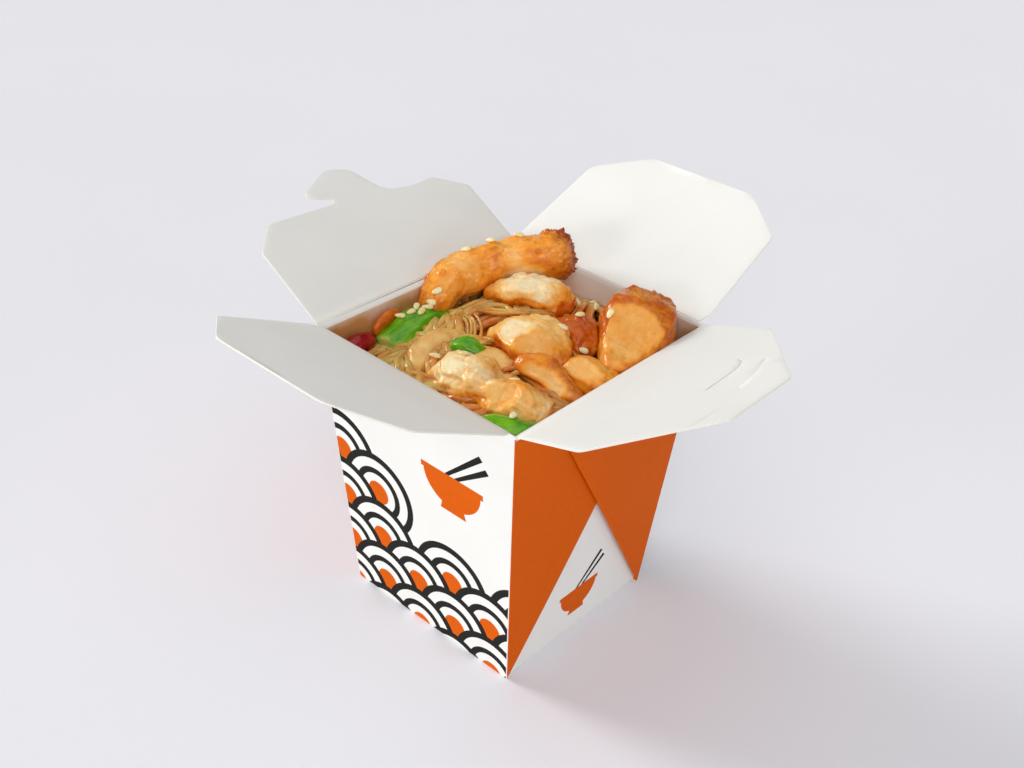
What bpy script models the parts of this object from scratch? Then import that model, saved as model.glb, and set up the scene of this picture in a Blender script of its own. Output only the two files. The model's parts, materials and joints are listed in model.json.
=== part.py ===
"""Open noodle takeaway box, heaped with glass noodles, chicken and peppers.

Run with: blender --background --python part.py
Sizes below are in millimetres and the meshes are made in metres. The origin is the centre of the
base, +Z is up, the printed walls face -Y and +Y, and the walls with the folded gussets face -X and +X.
"""
import math
import random

import bmesh
import bpy
from mathutils import Matrix, Vector, noise
from mathutils.bvhtree import BVHTree

MM = 0.001

# Driving dimensions of the box
HEIGHT = 100.0
BASE_HALF_X = 34.5
BASE_HALF_Y = 33.0
RIM_HALF_X = 40.0
RIM_HALF_Y = 43.0
BOARD = 0.5
BASE_BOARD = 0.8
GUSSET_UNDER = 0.8
GUSSET_OVER = 1.6
GUSSET_RIM_REACH = 28.5
GAP = 0.3
CUT_OVER = 10.0
MERGE_DISTANCE = 0.02

# Flaps: the angle is above the horizontal, outwards, as the flap stands open
FLAP_PIVOT_OUT = 0.15
FLAP_FACE_IN = 0.15
FLAP_START = 0.9
FLAP_ANGLE = {"hook": 29.0, "slit": 19.0, "back": 24.0, "front": 27.0}
ARC_STEP = math.radians(20)
SLIT_WIDTH = 0.6

# Level of the noodles, the bare heap under its loose strands
HEAP_LEVEL = 88.6
HEAP_MOUND = 6.0
HEAP_MOUND_CENTRE = (2.0, 4.0)
HEAP_MOUND_SPREAD = 21.0
HEAP_DIP = 4.0
HEAP_DIP_CENTRE = (-34.0, -28.0)
HEAP_DIP_SPREAD = 13.0
HEAP_RIPPLE = 0.7
HEAP_RIPPLE_LENGTH = 9.0
HEAP_CELLS = 20

# Loose strands and seeds
STRAND_RADIUS = 0.95
STRAND_SIDES = 5
STRAND_STEP = 1.6
STRAND_COUNT = 22
STRAND_LONGEST = 20
STRAND_SHORTEST = 7
STRAND_LAYERS = (0.3, 1.1)
STRAND_TURNS = (0.0, 0.3, -0.3, 0.55, -0.55)
STRAND_WANDER = 0.12
STRAND_CLEARANCE = 0.45
STRAND_SPACING = 1.52
STRAND_TRIES = 900
STRAND_SEED = 41
SEED_LENGTH = 3.2
SEED_WIDTH = 1.9
SEED_THICKNESS = 1.1
SEED_SIDES = 6
SEED_RINGS = ((-0.30, 0.62), (0.12, 0.96))
SEED_LIFT = 0.22

# The room that the food may fill, above the bare noodles
ROOM_LOW = 60.0
ROOM_TOP = 140.0
ROOM_INSET = 0.4
ROOM_LAP = 0.5
UNDER_LOW = 50.0
UNDER_SPREAD = 3.0

# Each lump of food is lofted along its spine, a few points (x, y, z) of its middle line, with half
# widths and half heights at them. Roll tilts the section in degrees, square makes it boxy, rough is
# the depth of its bulges, and blunt is the size of its end faces as a share of the end's section.
# Each lump is cut clear of the ones listed before it.
LUMPS = {
    "chicken_back": dict(
        spine=((-32.6, -1.5, 94.0), (-33.0, 6.0, 99.8), (-29.0, 17.0, 102.6), (-21.5, 27.5, 104.6),
               (-12.6, 35.0, 106.0)),
        widths=(5.2, 6.4, 6.4, 7.2, 6.8), heights=(4.8, 6.6, 6.2, 7.0, 7.4), square=2.8, rough=0.9, seed=1,
        blunt=0.74),
    "chicken_right": dict(
        spine=((22.5, 34.0, 99.2), (25.5, 28.0, 99.2), (30.0, 19.0, 96.8), (34.0, 11.0, 93.8)),
        widths=(10.0, 11.5, 10.0, 7.5), heights=(7.6, 8.2, 7.6, 6.5), square=4.2, rough=0.7, seed=2,
        roll=-11, blunt=0.86),
    "chicken_top": dict(
        spine=((-21.0, 12.5, 97.6), (-14.0, 17.0, 99.6), (-7.5, 20.5, 100.0), (-0.5, 24.0, 98.2)),
        widths=(4.0, 7.2, 7.4, 5.0), heights=(3.2, 4.8, 5.2, 4.2), square=2.5, rough=1.2, seed=5, blunt=0.66),
    "chicken_centre": dict(
        spine=((-3.0, -2.5, 95.6), (3.0, -0.4, 98.0), (10.0, -0.4, 98.6), (17.0, -2.5, 96.0)),
        widths=(6.0, 9.4, 10.6, 8.0), heights=(4.0, 5.4, 5.8, 4.8), square=2.7, rough=1.0, seed=4, blunt=0.66),
    "chicken_wedge": dict(
        spine=((13.5, -10.5, 97.4), (20.0, -9.4, 97.2), (28.0, -9.8, 95.6), (35.0, -10.0, 93.0)),
        widths=(3.6, 4.8, 3.6, 2.0), heights=(3.2, 4.0, 3.4, 2.2), square=2.3, rough=0.6, seed=7, roll=18,
        blunt=0.55),
    "chicken_front": dict(
        spine=((-3.0, -26.5, 92.0), (4.0, -25.5, 94.6), (14.0, -24.5, 94.4), (22.5, -25.0, 94.6),
               (29.5, -23.5, 93.2)),
        widths=(6.0, 8.6, 7.0, 8.2, 6.4), heights=(4.6, 6.4, 5.0, 6.2, 5.4), square=2.5, rough=1.3, seed=3,
        blunt=0.7),
    "chicken_lobe": dict(
        spine=((22.0, -0.8, 94.0), (28.5, 0.2, 94.8), (35.2, 0.4, 93.4)),
        widths=(5.0, 6.8, 6.2), heights=(4.4, 5.4, 5.0), square=2.8, rough=0.8, seed=6, blunt=0.7),
    "chicken_small": dict(
        spine=((5.0, 16.0, 95.0), (11.5, 15.5, 96.4), (18.0, 12.0, 95.4)),
        widths=(5.4, 7.0, 5.0), heights=(3.6, 4.6, 3.8), square=2.5, rough=1.0, seed=8, blunt=0.66),
    "pepper_green_large": dict(
        spine=((-30.8, -20.5, 88.6), (-31.4, -15.0, 90.2), (-31.4, -8.0, 91.6), (-28.5, -0.5, 91.4)),
        widths=(5.8, 6.0, 5.2, 3.4), heights=(4.4, 4.4, 4.0, 2.8), square=2.6, rough=0.4, seed=9, blunt=0.9),
    "pepper_green_small": dict(
        spine=((-8.0, -15.6, 94.0), (-5.0, -15.0, 94.8), (-2.0, -14.0, 94.0)),
        widths=(3.0, 3.4, 3.0), heights=(3.8, 4.2, 3.8), square=3.2, rough=0.4, seed=10, blunt=0.86),
    "pepper_green_corner": dict(
        spine=((21.5, -37.6, 92.0), (27.5, -37.4, 94.2), (33.8, -36.0, 94.6), (35.6, -30.0, 93.0)),
        widths=(3.0, 4.0, 4.2, 3.0), heights=(2.8, 3.6, 3.8, 3.0), square=2.6, rough=0.3, seed=11, blunt=0.8),
    "pepper_red": dict(
        spine=((-34.6, -36.0, 88.0), (-34.0, -32.0, 89.4), (-34.2, -28.5, 89.0)),
        widths=(2.4, 3.0, 2.6), heights=(4.4, 5.2, 4.6), square=3.0, rough=0.3, seed=12, blunt=0.86),
    "carrot": dict(
        spine=((-35.6, -22.5, 90.0), (-35.6, -18.5, 92.4), (-35.6, -14.5, 93.4)),
        widths=(1.3, 1.5, 1.2), heights=(4.0, 4.6, 3.6), square=3.0, rough=0.2, seed=13, blunt=0.8),
    "onion_left": dict(
        spine=((-13.5, -9.0, 94.0), (-17.0, -15.5, 94.0), (-16.5, -22.5, 92.6), (-12.0, -28.5, 91.0)),
        widths=(2.8, 3.8, 3.8, 2.6), heights=(1.8, 2.4, 2.4, 2.0), square=2.6, rough=0.3, seed=14, blunt=0.7),
    "onion_centre": dict(
        spine=((-3.0, -12.5, 94.6), (2.5, -13.5, 95.4), (8.5, -13.0, 95.4)),
        widths=(3.6, 4.6, 3.8), heights=(1.6, 2.2, 1.8), square=2.6, rough=0.3, seed=15, blunt=0.7),
}
LUMP_SIDES = 12
LUMP_STATIONS = 9
END_REACH = 0.5
TIP_REACH = 0.6
END_STEP = 0.05
WAY_STEP = 0.03
BULGE_DEPTH = 1.3
BULGE_LENGTH = 6.0
BULGE_SHIFT = (17.3, 5.1, 9.7)

# Seeds that lie on a piece: (x, y, turn in degrees) seen from above
SEEDS = {
    "chicken_back": ((-31.5, 2.0, 20), (-30.2, 4.6, 70), (-33.0, 13.0, 40), (-29.5, 20.5, 10),
                     (-24.0, 27.5, 60)),
    "pepper_green_large": ((-32.8, -16.0, 30), (-31.6, -12.5, 80), (-32.6, -9.2, 130), (-30.2, -6.8, 50),
                           (-29.6, -10.0, 110)),
    "chicken_right": ((21.0, 20.0, 100),),
    "chicken_front": ((2.0, -24.0, 60), (20.0, -22.0, 20)),
    "chicken_centre": ((14.5, 5.0, 40),),
    "pepper_green_corner": ((31.0, -34.6, 110),),
    "chicken_small": ((12.0, 16.0, 75), (17.5, 11.0, 20)),
}
HEAP_SEEDS = ((0.0, 30.5, 20), (3.0, 33.5, 70), (6.5, 31.0, 120), (-9.0, -24.5, 40))

COLOURS = {
    "board_white": ((0.84, 0.83, 0.80), 0.55),
    "glass_noodle": ((0.70, 0.52, 0.30), 0.30),
    "chicken_glazed": ((0.72, 0.36, 0.12), 0.38),
    "pepper_green": ((0.07, 0.33, 0.03), 0.28),
    "pepper_red": ((0.45, 0.02, 0.02), 0.28),
    "carrot": ((0.80, 0.28, 0.03), 0.40),
    "onion": ((0.80, 0.62, 0.40), 0.28),
}


def clear_scene():
    """Removes every object of the open file."""
    for item in list(bpy.data.objects):
        bpy.data.objects.remove(item, do_unlink=True)


def material(name):
    """A plain Principled material with the part's colour and roughness."""
    found = bpy.data.materials.get(name)
    if found:
        return found
    made = bpy.data.materials.new(name)
    made.use_nodes = True
    shader = made.node_tree.nodes["Principled BSDF"]
    colour, roughness = COLOURS[name]
    shader.inputs["Base Color"].default_value = (*colour, 1.0)
    shader.inputs["Roughness"].default_value = roughness
    shader.inputs["Metallic"].default_value = 0.0
    return made


def object_from(bm, name, finish=None):
    """Turns a bmesh in millimetres into an object in metres, with its faces outwards."""
    bmesh.ops.recalc_face_normals(bm, faces=bm.faces)
    bmesh.ops.scale(bm, vec=(MM, MM, MM), verts=bm.verts)
    mesh = bpy.data.meshes.new(name)
    bm.to_mesh(mesh)
    bm.free()
    made = bpy.data.objects.new(name, mesh)
    bpy.context.scene.collection.objects.link(made)
    if finish:
        mesh.materials.append(material(finish))
    return made


def prism(points, offset):
    """A closed solid between a polygon in space and its copy moved by an offset."""
    bm = bmesh.new()
    near = [bm.verts.new(p) for p in points]
    far = [bm.verts.new(Vector(p) + Vector(offset)) for p in points]
    bm.faces.new(near)
    bm.faces.new(list(reversed(far)))
    for i in range(len(points)):
        j = (i + 1) % len(points)
        bm.faces.new((near[j], near[i], far[i], far[j]))
    return bm


def drop(item):
    """Removes an object and its mesh."""
    mesh = item.data
    bpy.data.objects.remove(item, do_unlink=True)
    bpy.data.meshes.remove(mesh)


def apply_boolean(target, operation, others, solver="EXACT"):
    """Joins, cuts or trims an object by the others, which are then removed."""
    group = bpy.data.collections.new("boolean")
    bpy.context.scene.collection.children.link(group)
    for other in others:
        bpy.context.scene.collection.objects.unlink(other)
        group.objects.link(other)
    step = target.modifiers.new("boolean", "BOOLEAN")
    step.operation = operation
    step.solver = solver
    if len(others) == 1:
        step.operand_type = "OBJECT"
        step.object = others[0]
    else:
        step.operand_type = "COLLECTION"
        step.collection = group
    graph = bpy.context.evaluated_depsgraph_get()
    result = bpy.data.meshes.new_from_object(target.evaluated_get(graph))
    old = target.data
    target.modifiers.clear()
    target.data = result
    result.name = old.name
    bpy.data.meshes.remove(old)
    for other in others:
        drop(other)
    bpy.data.collections.remove(group)


def keep_largest(item):
    """Drops loose scraps, so that one closed body is left, and merges points that coincide."""
    bm = bmesh.new()
    bm.from_mesh(item.data)
    bmesh.ops.remove_doubles(bm, verts=bm.verts, dist=MERGE_DISTANCE * MM)
    bmesh.ops.dissolve_degenerate(bm, dist=MERGE_DISTANCE / 2 * MM, edges=bm.edges)
    left = set(bm.verts)
    shells = []
    while left:
        stack = [left.pop()]
        shell = set(stack)
        while stack:
            for edge in stack.pop().link_edges:
                for vert in edge.verts:
                    if vert not in shell:
                        shell.add(vert)
                        stack.append(vert)
        left -= shell
        shells.append(shell)
    shells.sort(key=len)
    scraps = [vert for shell in shells[:-1] for vert in shell]
    bmesh.ops.delete(bm, geom=scraps, context="VERTS")
    bmesh.ops.triangulate(bm, faces=bm.faces)
    bmesh.ops.recalc_face_normals(bm, faces=bm.faces)
    bm.to_mesh(item.data)
    bm.free()


def outer_half(z):
    """Half sizes of the box's outside at a height, with the gussets in X."""
    share = z / HEIGHT
    return (BASE_HALF_X + (RIM_HALF_X - BASE_HALF_X) * share,
            BASE_HALF_Y + (RIM_HALF_Y - BASE_HALF_Y) * share)


def inner_half(z):
    """Half sizes of the box's inside at a height."""
    x, y = outer_half(z)
    return x - GUSSET_OVER - BOARD, y - BOARD


def frustum(low, low_half, high, high_half):
    """A closed four-sided solid that widens from one height to another."""
    bm = bmesh.new()
    rings = []
    for z, (x, y) in ((low, low_half), (high, high_half)):
        rings.append([bm.verts.new((sx * x, sy * y, z)) for sx, sy in ((-1, -1), (1, -1), (1, 1), (-1, 1))])
    bm.faces.new(reversed(rings[0]))
    bm.faces.new(rings[1])
    for i in range(4):
        j = (i + 1) % 4
        bm.faces.new((rings[0][i], rings[0][j], rings[1][j], rings[1][i]))
    return bm


def gusset(end, side, thickness):
    """One folded web: a triangle from a base corner, lying on the end panel."""
    sunk = GUSSET_OVER + BOARD / 2

    def at(y, z, depth):
        return Vector((end * (outer_half(z)[0] - depth), y, z))

    corners = ((side * BASE_HALF_Y, 0.0), (side * RIM_HALF_Y, HEIGHT), (-side * GUSSET_RIM_REACH, HEIGHT))
    bm = bmesh.new()
    inner = [bm.verts.new(at(y, z, sunk)) for y, z in corners]
    outer = [bm.verts.new(at(y, z, GUSSET_OVER - thickness)) for y, z in corners]
    bm.faces.new(inner)
    bm.faces.new(list(reversed(outer)))
    for i in range(3):
        j = (i + 1) % 3
        bm.faces.new((inner[j], inner[i], outer[i], outer[j]))
    return bm


def make_carton():
    """The box's walls, base and folded gussets, one piece of board."""
    def panel_half(z):
        x, y = outer_half(z)
        return x - GUSSET_OVER, y

    carton = object_from(frustum(0.0, panel_half(0.0), HEIGHT, panel_half(HEIGHT)), "carton", "board_white")
    top = HEIGHT + CUT_OVER
    hollow = frustum(BASE_BOARD, inner_half(BASE_BOARD), top, inner_half(top))
    cutter = object_from(hollow, "hollow")
    webs = []
    for end in (-1, 1):
        webs.append(object_from(gusset(end, -end, GUSSET_UNDER), "web"))
        webs.append(object_from(gusset(end, end, GUSSET_OVER), "web"))
    apply_boolean(carton, "UNION", webs)
    apply_boolean(carton, "DIFFERENCE", [cutter])
    keep_largest(carton)
    return carton


def rounded(corners):
    """An outline whose corners (u, v, radius) are replaced by arcs."""
    outline = []
    count = len(corners)
    for i, (u, v, radius) in enumerate(corners):
        here = Vector((u, v))
        if radius == 0:
            outline.append(here)
            continue
        before = (Vector(corners[i - 1][:2]) - here).normalized()
        after = (Vector(corners[(i + 1) % count][:2]) - here).normalized()
        half = before.angle(after) / 2
        centre = here + (before + after).normalized() * (radius / math.sin(half))
        start = here + before * (radius / math.tan(half)) - centre
        turn = math.pi - 2 * half
        if start.x * (-before.y) + start.y * before.x > 0:
            turn = -turn
        steps = max(2, round(abs(turn) / ARC_STEP))
        for k in range(steps + 1):
            angle = -turn * k / steps
            outline.append(centre + Matrix.Rotation(angle, 2) @ start)
    return outline


# Outlines in each flap's own plane: u runs along the hinge, to the left as seen from outside, and v
# away from it; the third number is the corner's radius
HOOK_OUTLINE = (
    (43.0, FLAP_START, 0), (43.6, 24.6, 2.0), (32.6, 32.8, 2.5), (22.5, 32.4, 8.0), (12.6, 34.4, 7.0),
    (6.4, 46.4, 4.5), (-2.0, 49.6, 6.5), (-16.6, 42.2, 1.6), (-6.8, 37.6, 0.6), (-8.2, 36.0, 0.8),
    (-33.8, 37.2, 3.0), (-42.6, 28.6, 3.0), (-43.0, FLAP_START, 0))
SLIT_OUTLINE = (
    (43.0, FLAP_START, 0), (44.4, 22.5, 3.0), (14.5, 47.2, 4.0), (-14.5, 47.2, 4.0), (-44.4, 22.5, 3.0),
    (-43.0, FLAP_START, 0))
SIDE_OUTLINE = (
    (37.3, FLAP_START, 0), (38.8, 4.0, 2.0), (37.2, 40.5, 5.0), (20.0, 54.2, 5.0), (-20.0, 54.2, 5.0),
    (-37.2, 40.5, 5.0), (-38.8, 4.0, 2.0), (-37.3, FLAP_START, 0))
SLIT_LINE = ((1.0, 30.4), (-12.0, 30.2), (-16.6, 29.6), (-19.4, 28.2), (-20.6, 26.2))

# Each flap: its outline, the side of the box that its hinge is on, and its angle's name
FLAPS = {
    "flap_hook": (HOOK_OUTLINE, (-1, 0), "hook"),
    "flap_slit": (SLIT_OUTLINE, (1, 0), "slit"),
    "flap_back": (SIDE_OUTLINE, (0, 1), "back"),
    "flap_front": (SIDE_OUTLINE, (0, -1), "front"),
}


def flap_frame(out, angle):
    """The matrix from a flap's own plane (u, v, n) to the box, with the hinge as its origin."""
    rise = math.radians(angle)
    u = Vector((out[1], -out[0], 0))
    v = Vector((out[0] * math.cos(rise), out[1] * math.cos(rise), math.sin(rise)))
    origin = Vector((out[0] * (RIM_HALF_X + FLAP_PIVOT_OUT), out[1] * (RIM_HALF_Y + FLAP_PIVOT_OUT), HEIGHT))
    frame = Matrix((u, v, u.cross(v))).transposed().to_4x4()
    frame.translation = origin * MM
    return frame


def slit_cutter():
    """A narrow cutter along the slit, which takes the hook when the lid is shut."""
    half = SLIT_WIDTH / 2
    edge = {}
    for side in (-1, 1):
        edge[side] = []
        for k, (u, v) in enumerate(SLIT_LINE):
            before = Vector(SLIT_LINE[max(k - 1, 0)])
            after = Vector(SLIT_LINE[min(k + 1, len(SLIT_LINE) - 1)])
            across = (after - before).normalized().orthogonal()
            edge[side].append(Vector((u + side * half * across.x, v + side * half * across.y, -CUT_OVER)))
    return object_from(prism(edge[-1] + list(reversed(edge[1])), (0, 0, 2 * CUT_OVER)), "slit")


def make_flap(name):
    """A flat board, with its origin on its hinge at the rim."""
    corners, out, key = FLAPS[name]
    outline = [Vector((p.x, p.y, FLAP_FACE_IN)) for p in rounded(corners)]
    flap = object_from(prism(outline, (0, 0, BOARD)), name, "board_white")
    if key == "slit":
        apply_boolean(flap, "DIFFERENCE", [slit_cutter()])
        keep_largest(flap)
    flap.matrix_world = flap_frame(out, FLAP_ANGLE[key])
    return flap


def heap_height(x, y):
    """Height of the bare noodles at a place in plan."""
    away = (x - HEAP_MOUND_CENTRE[0]) ** 2 + (y - HEAP_MOUND_CENTRE[1]) ** 2
    mound = HEAP_MOUND * math.exp(-away / (2 * HEAP_MOUND_SPREAD ** 2))
    away = (x - HEAP_DIP_CENTRE[0]) ** 2 + (y - HEAP_DIP_CENTRE[1]) ** 2
    dip = HEAP_DIP * math.exp(-away / (2 * HEAP_DIP_SPREAD ** 2))
    ripple = HEAP_RIPPLE * noise.noise(Vector((x, y, 0)) / HEAP_RIPPLE_LENGTH)
    return HEAP_LEVEL + mound - dip + ripple


def heap_solid(raise_by, spread, floor):
    """A closed solid under the noodles' surface, or under a copy that is raised and spread at its edge."""
    bm = bmesh.new()
    last = HEAP_CELLS
    grid = []
    for i in range(last + 1):
        row = []
        for j in range(last + 1):
            s = 2 * i / last - 1
            t = 2 * j / last - 1
            half_x, half_y = inner_half(HEAP_LEVEL)
            z = heap_height(s * half_x, t * half_y)
            half_x, half_y = inner_half(z)
            x = s * (half_x - GAP) + (s * spread if abs(s) == 1 else 0)
            y = t * (half_y - GAP) + (t * spread if abs(t) == 1 else 0)
            row.append(bm.verts.new((x, y, z + raise_by)))
        grid.append(row)
    half_x, half_y = inner_half(floor)
    foot = [bm.verts.new((sx * (half_x - GAP + spread), sy * (half_y - GAP + spread), floor))
            for sx, sy in ((-1, -1), (1, -1), (1, 1), (-1, 1))]
    for i in range(last):
        for j in range(last):
            bm.faces.new((grid[i][j], grid[i + 1][j], grid[i + 1][j + 1], grid[i][j + 1]))
    sides = ([grid[k][0] for k in range(last + 1)], [grid[last][k] for k in range(last + 1)],
             [grid[last - k][last] for k in range(last + 1)], [grid[0][last - k] for k in range(last + 1)])
    for k, side in enumerate(sides):
        bm.faces.new([foot[(k + 1) % 4], foot[k]] + side)
    bm.faces.new(reversed(foot))
    bmesh.ops.triangulate(bm, faces=bm.faces)
    return bm


def spine_point(points, share):
    """A point on a smooth curve through the spine's points, and the local place between them."""
    last = len(points) - 1
    place = share * last
    k = min(int(place), last - 1)
    t = place - k
    p = [Vector(points[max(0, min(last, k + d))]) for d in (-1, 0, 1, 2)]
    curve = (p[1] * 2 + (p[2] - p[0]) * t + (p[0] * 2 - p[1] * 5 + p[2] * 4 - p[3]) * t ** 2
             + (p[1] * 3 - p[0] - p[2] * 3 + p[3]) * t ** 3)
    return curve / 2, k, t


def between(values, k, t):
    """A value read between the spine's points."""
    ease = t * t * (3 - 2 * t)
    return values[k] * (1 - ease) + values[k + 1] * ease


def lump(spine, widths, heights, square, rough, seed, blunt, roll=0.0, grow=0.0):
    """A rounded, uneven piece of food, lofted along its spine."""
    bm = bmesh.new()
    shift = Vector(BULGE_SHIFT) * seed
    rings = []
    first = spine_point(spine, 0.0)[0]
    final = spine_point(spine, 1.0)[0]
    start_way = (spine_point(spine, END_STEP)[0] - first).normalized()
    final_way = (final - spine_point(spine, 1.0 - END_STEP)[0]).normalized()
    start_tip = first - start_way * (widths[0] * TIP_REACH + grow)
    final_tip = final + final_way * (widths[-1] * TIP_REACH + grow)
    for s in range(LUMP_STATIONS + 2):
        share = min(max((s - 0.5) / LUMP_STATIONS, 0.0), 1.0)
        middle, k, t = spine_point(spine, share)
        ahead = spine_point(spine, min(share + WAY_STEP, 1.0))[0]
        behind = spine_point(spine, max(share - WAY_STEP, 0.0))[0]
        way = (ahead - behind).normalized()
        side = way.cross(Vector((0, 0, 1))).normalized()
        side.rotate(Matrix.Rotation(math.radians(roll), 3, way))
        up = side.cross(way).normalized()
        end = 1.0
        if s == 0:
            middle = first - start_way * (widths[0] * END_REACH + grow)
            end = blunt
        if s == LUMP_STATIONS + 1:
            middle = final + final_way * (widths[-1] * END_REACH + grow)
            end = blunt
        half_w = between(widths, k, t) * end + grow
        half_h = between(heights, k, t) * end + grow
        ring = []
        for m in range(LUMP_SIDES):
            angle = 2 * math.pi * (m + 0.5) / LUMP_SIDES
            c = math.cos(angle)
            d = math.sin(angle)
            flat = (abs(c) ** square + abs(d) ** square) ** (-1 / square)
            point = middle + side * (half_w * c * flat) + up * (half_h * d * flat)
            push = rough * BULGE_DEPTH * noise.noise((point + shift) / BULGE_LENGTH)
            point += (point - middle).normalized() * push
            ring.append(bm.verts.new(point))
        rings.append(ring)
    for near, far in zip(rings, rings[1:]):
        for m in range(LUMP_SIDES):
            n = (m + 1) % LUMP_SIDES
            bm.faces.new((near[m], near[n], far[n], far[m]))
    for ring, tip in ((rings[0], start_tip), (rings[-1], final_tip)):
        pole = bm.verts.new(tip)
        for m in range(LUMP_SIDES):
            bm.faces.new((ring[m], ring[(m + 1) % LUMP_SIDES], pole))
    bmesh.ops.triangulate(bm, faces=bm.faces)
    return bm


def free_space():
    """The room above the bare noodles and between the walls, which runs on above the rim."""
    def shrunk(z, inset):
        x, y = inner_half(z)
        return x - inset, y - inset

    lap = HEIGHT - ROOM_LAP
    inset = ROOM_INSET + MERGE_DISTANCE
    below = frustum(ROOM_LOW, shrunk(ROOM_LOW, ROOM_INSET), HEIGHT, shrunk(HEIGHT, ROOM_INSET))
    room = object_from(below, "room")
    above = object_from(frustum(lap, shrunk(lap, inset), ROOM_TOP, shrunk(HEIGHT, inset)), "above")
    apply_boolean(room, "UNION", [above])
    under = object_from(heap_solid(GAP, UNDER_SPREAD, UNDER_LOW), "under")
    apply_boolean(room, "DIFFERENCE", [under])
    keep_largest(room)
    return room


def finish_of(name):
    """The material of a piece of food, from its name."""
    if name.startswith("pepper_green"):
        return "pepper_green"
    for start, finish in (("pepper_red", "pepper_red"), ("carrot", "carrot"), ("onion", "onion")):
        if name.startswith(start):
            return finish
    return "chicken_glazed"


def reach_of(name):
    """The lowest and highest corner that a lump can reach."""
    spine = LUMPS[name]["spine"]
    around = max(LUMPS[name]["widths"] + LUMPS[name]["heights"]) + LUMPS[name]["rough"]
    low = [min(p[axis] for p in spine) - around for axis in range(3)]
    high = [max(p[axis] for p in spine) + around for axis in range(3)]
    return low, high


def is_near(name, other):
    """Whether two lumps may touch."""
    low, high = reach_of(name)
    other_low, other_high = reach_of(other)
    return all(low[axis] < other_high[axis] and other_low[axis] < high[axis] for axis in range(3))


def make_lump(name, room):
    """One piece of food, set on the noodles and cut clear of the ones before it."""
    made = object_from(lump(**LUMPS[name]), name, finish_of(name))
    space = room.copy()
    space.data = room.data.copy()
    bpy.context.scene.collection.objects.link(space)
    apply_boolean(made, "INTERSECT", [space])
    for other in list(LUMPS)[:list(LUMPS).index(name)]:
        if is_near(name, other):
            apply_boolean(made, "DIFFERENCE", [object_from(lump(grow=GAP, **LUMPS[other]), "cut")])
    keep_largest(made)
    return made


def tree_of(item):
    """A search tree of an object's triangles, in world space."""
    bm = bmesh.new()
    bm.from_mesh(item.data)
    bm.transform(item.matrix_world)
    tree = BVHTree.FromBMesh(bm)
    bm.free()
    return tree


def seed_solid(place, turn, normal):
    """One sesame seed, a flat drop that is half sunk in what it lies on."""
    bm = bmesh.new()
    rings = []
    for along, size in SEED_RINGS:
        ring = []
        for m in range(SEED_SIDES):
            angle = 2 * math.pi * m / SEED_SIDES
            ring.append(bm.verts.new((along * SEED_LENGTH, math.cos(angle) * size * SEED_WIDTH / 2,
                                      math.sin(angle) * size * SEED_THICKNESS / 2)))
        rings.append(ring)
    poles = (bm.verts.new((-0.5 * SEED_LENGTH, 0, 0)), bm.verts.new((0.5 * SEED_LENGTH, 0, 0)))
    for m in range(SEED_SIDES):
        n = (m + 1) % SEED_SIDES
        bm.faces.new((rings[0][m], rings[0][n], rings[1][n], rings[1][m]))
        bm.faces.new((rings[0][n], rings[0][m], poles[0]))
        bm.faces.new((rings[1][m], rings[1][n], poles[1]))
    z = normal.normalized()
    x = Vector((math.cos(math.radians(turn)), math.sin(math.radians(turn)), 0))
    y = z.cross(x).normalized()
    x = y.cross(z)
    frame = Matrix((x, y, z)).transposed().to_4x4()
    frame.translation = place + z * (SEED_THICKNESS * SEED_LIFT)
    bm.transform(frame)
    return bm


def lay_seeds(item, places):
    """Fuses seeds to the upper face of a piece."""
    tree = tree_of(item)
    seeds = []
    for x, y, turn in places:
        hit, normal, _, _ = tree.ray_cast(Vector((x, y, ROOM_TOP)) * MM, Vector((0, 0, -1)))
        if hit is None:
            continue
        seeds.append(object_from(seed_solid(hit / MM, turn, normal), "seed"))
    if seeds:
        apply_boolean(item, "UNION", seeds)
        keep_largest(item)


def strand_solid(points):
    """A noodle strand, a round tube along its points with closed ends."""
    bm = bmesh.new()
    rings = []
    for k, point in enumerate(points):
        ahead = points[min(k + 1, len(points) - 1)]
        behind = points[max(k - 1, 0)]
        way = (ahead - behind).normalized()
        side = way.cross(Vector((0, 0, 1))).normalized()
        up = side.cross(way)
        ring = []
        for m in range(STRAND_SIDES):
            angle = 2 * math.pi * m / STRAND_SIDES + math.pi / 2
            offset = side * math.cos(angle) + up * math.sin(angle)
            ring.append(bm.verts.new(point + offset * STRAND_RADIUS))
        rings.append(ring)
    bm.faces.new(rings[0])
    bm.faces.new(list(reversed(rings[-1])))
    for near, far in zip(rings, rings[1:]):
        for m in range(STRAND_SIDES):
            n = (m + 1) % STRAND_SIDES
            bm.faces.new((near[m], near[n], far[n], far[m]))
    bmesh.ops.triangulate(bm, faces=bm.faces)
    return bm


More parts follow.
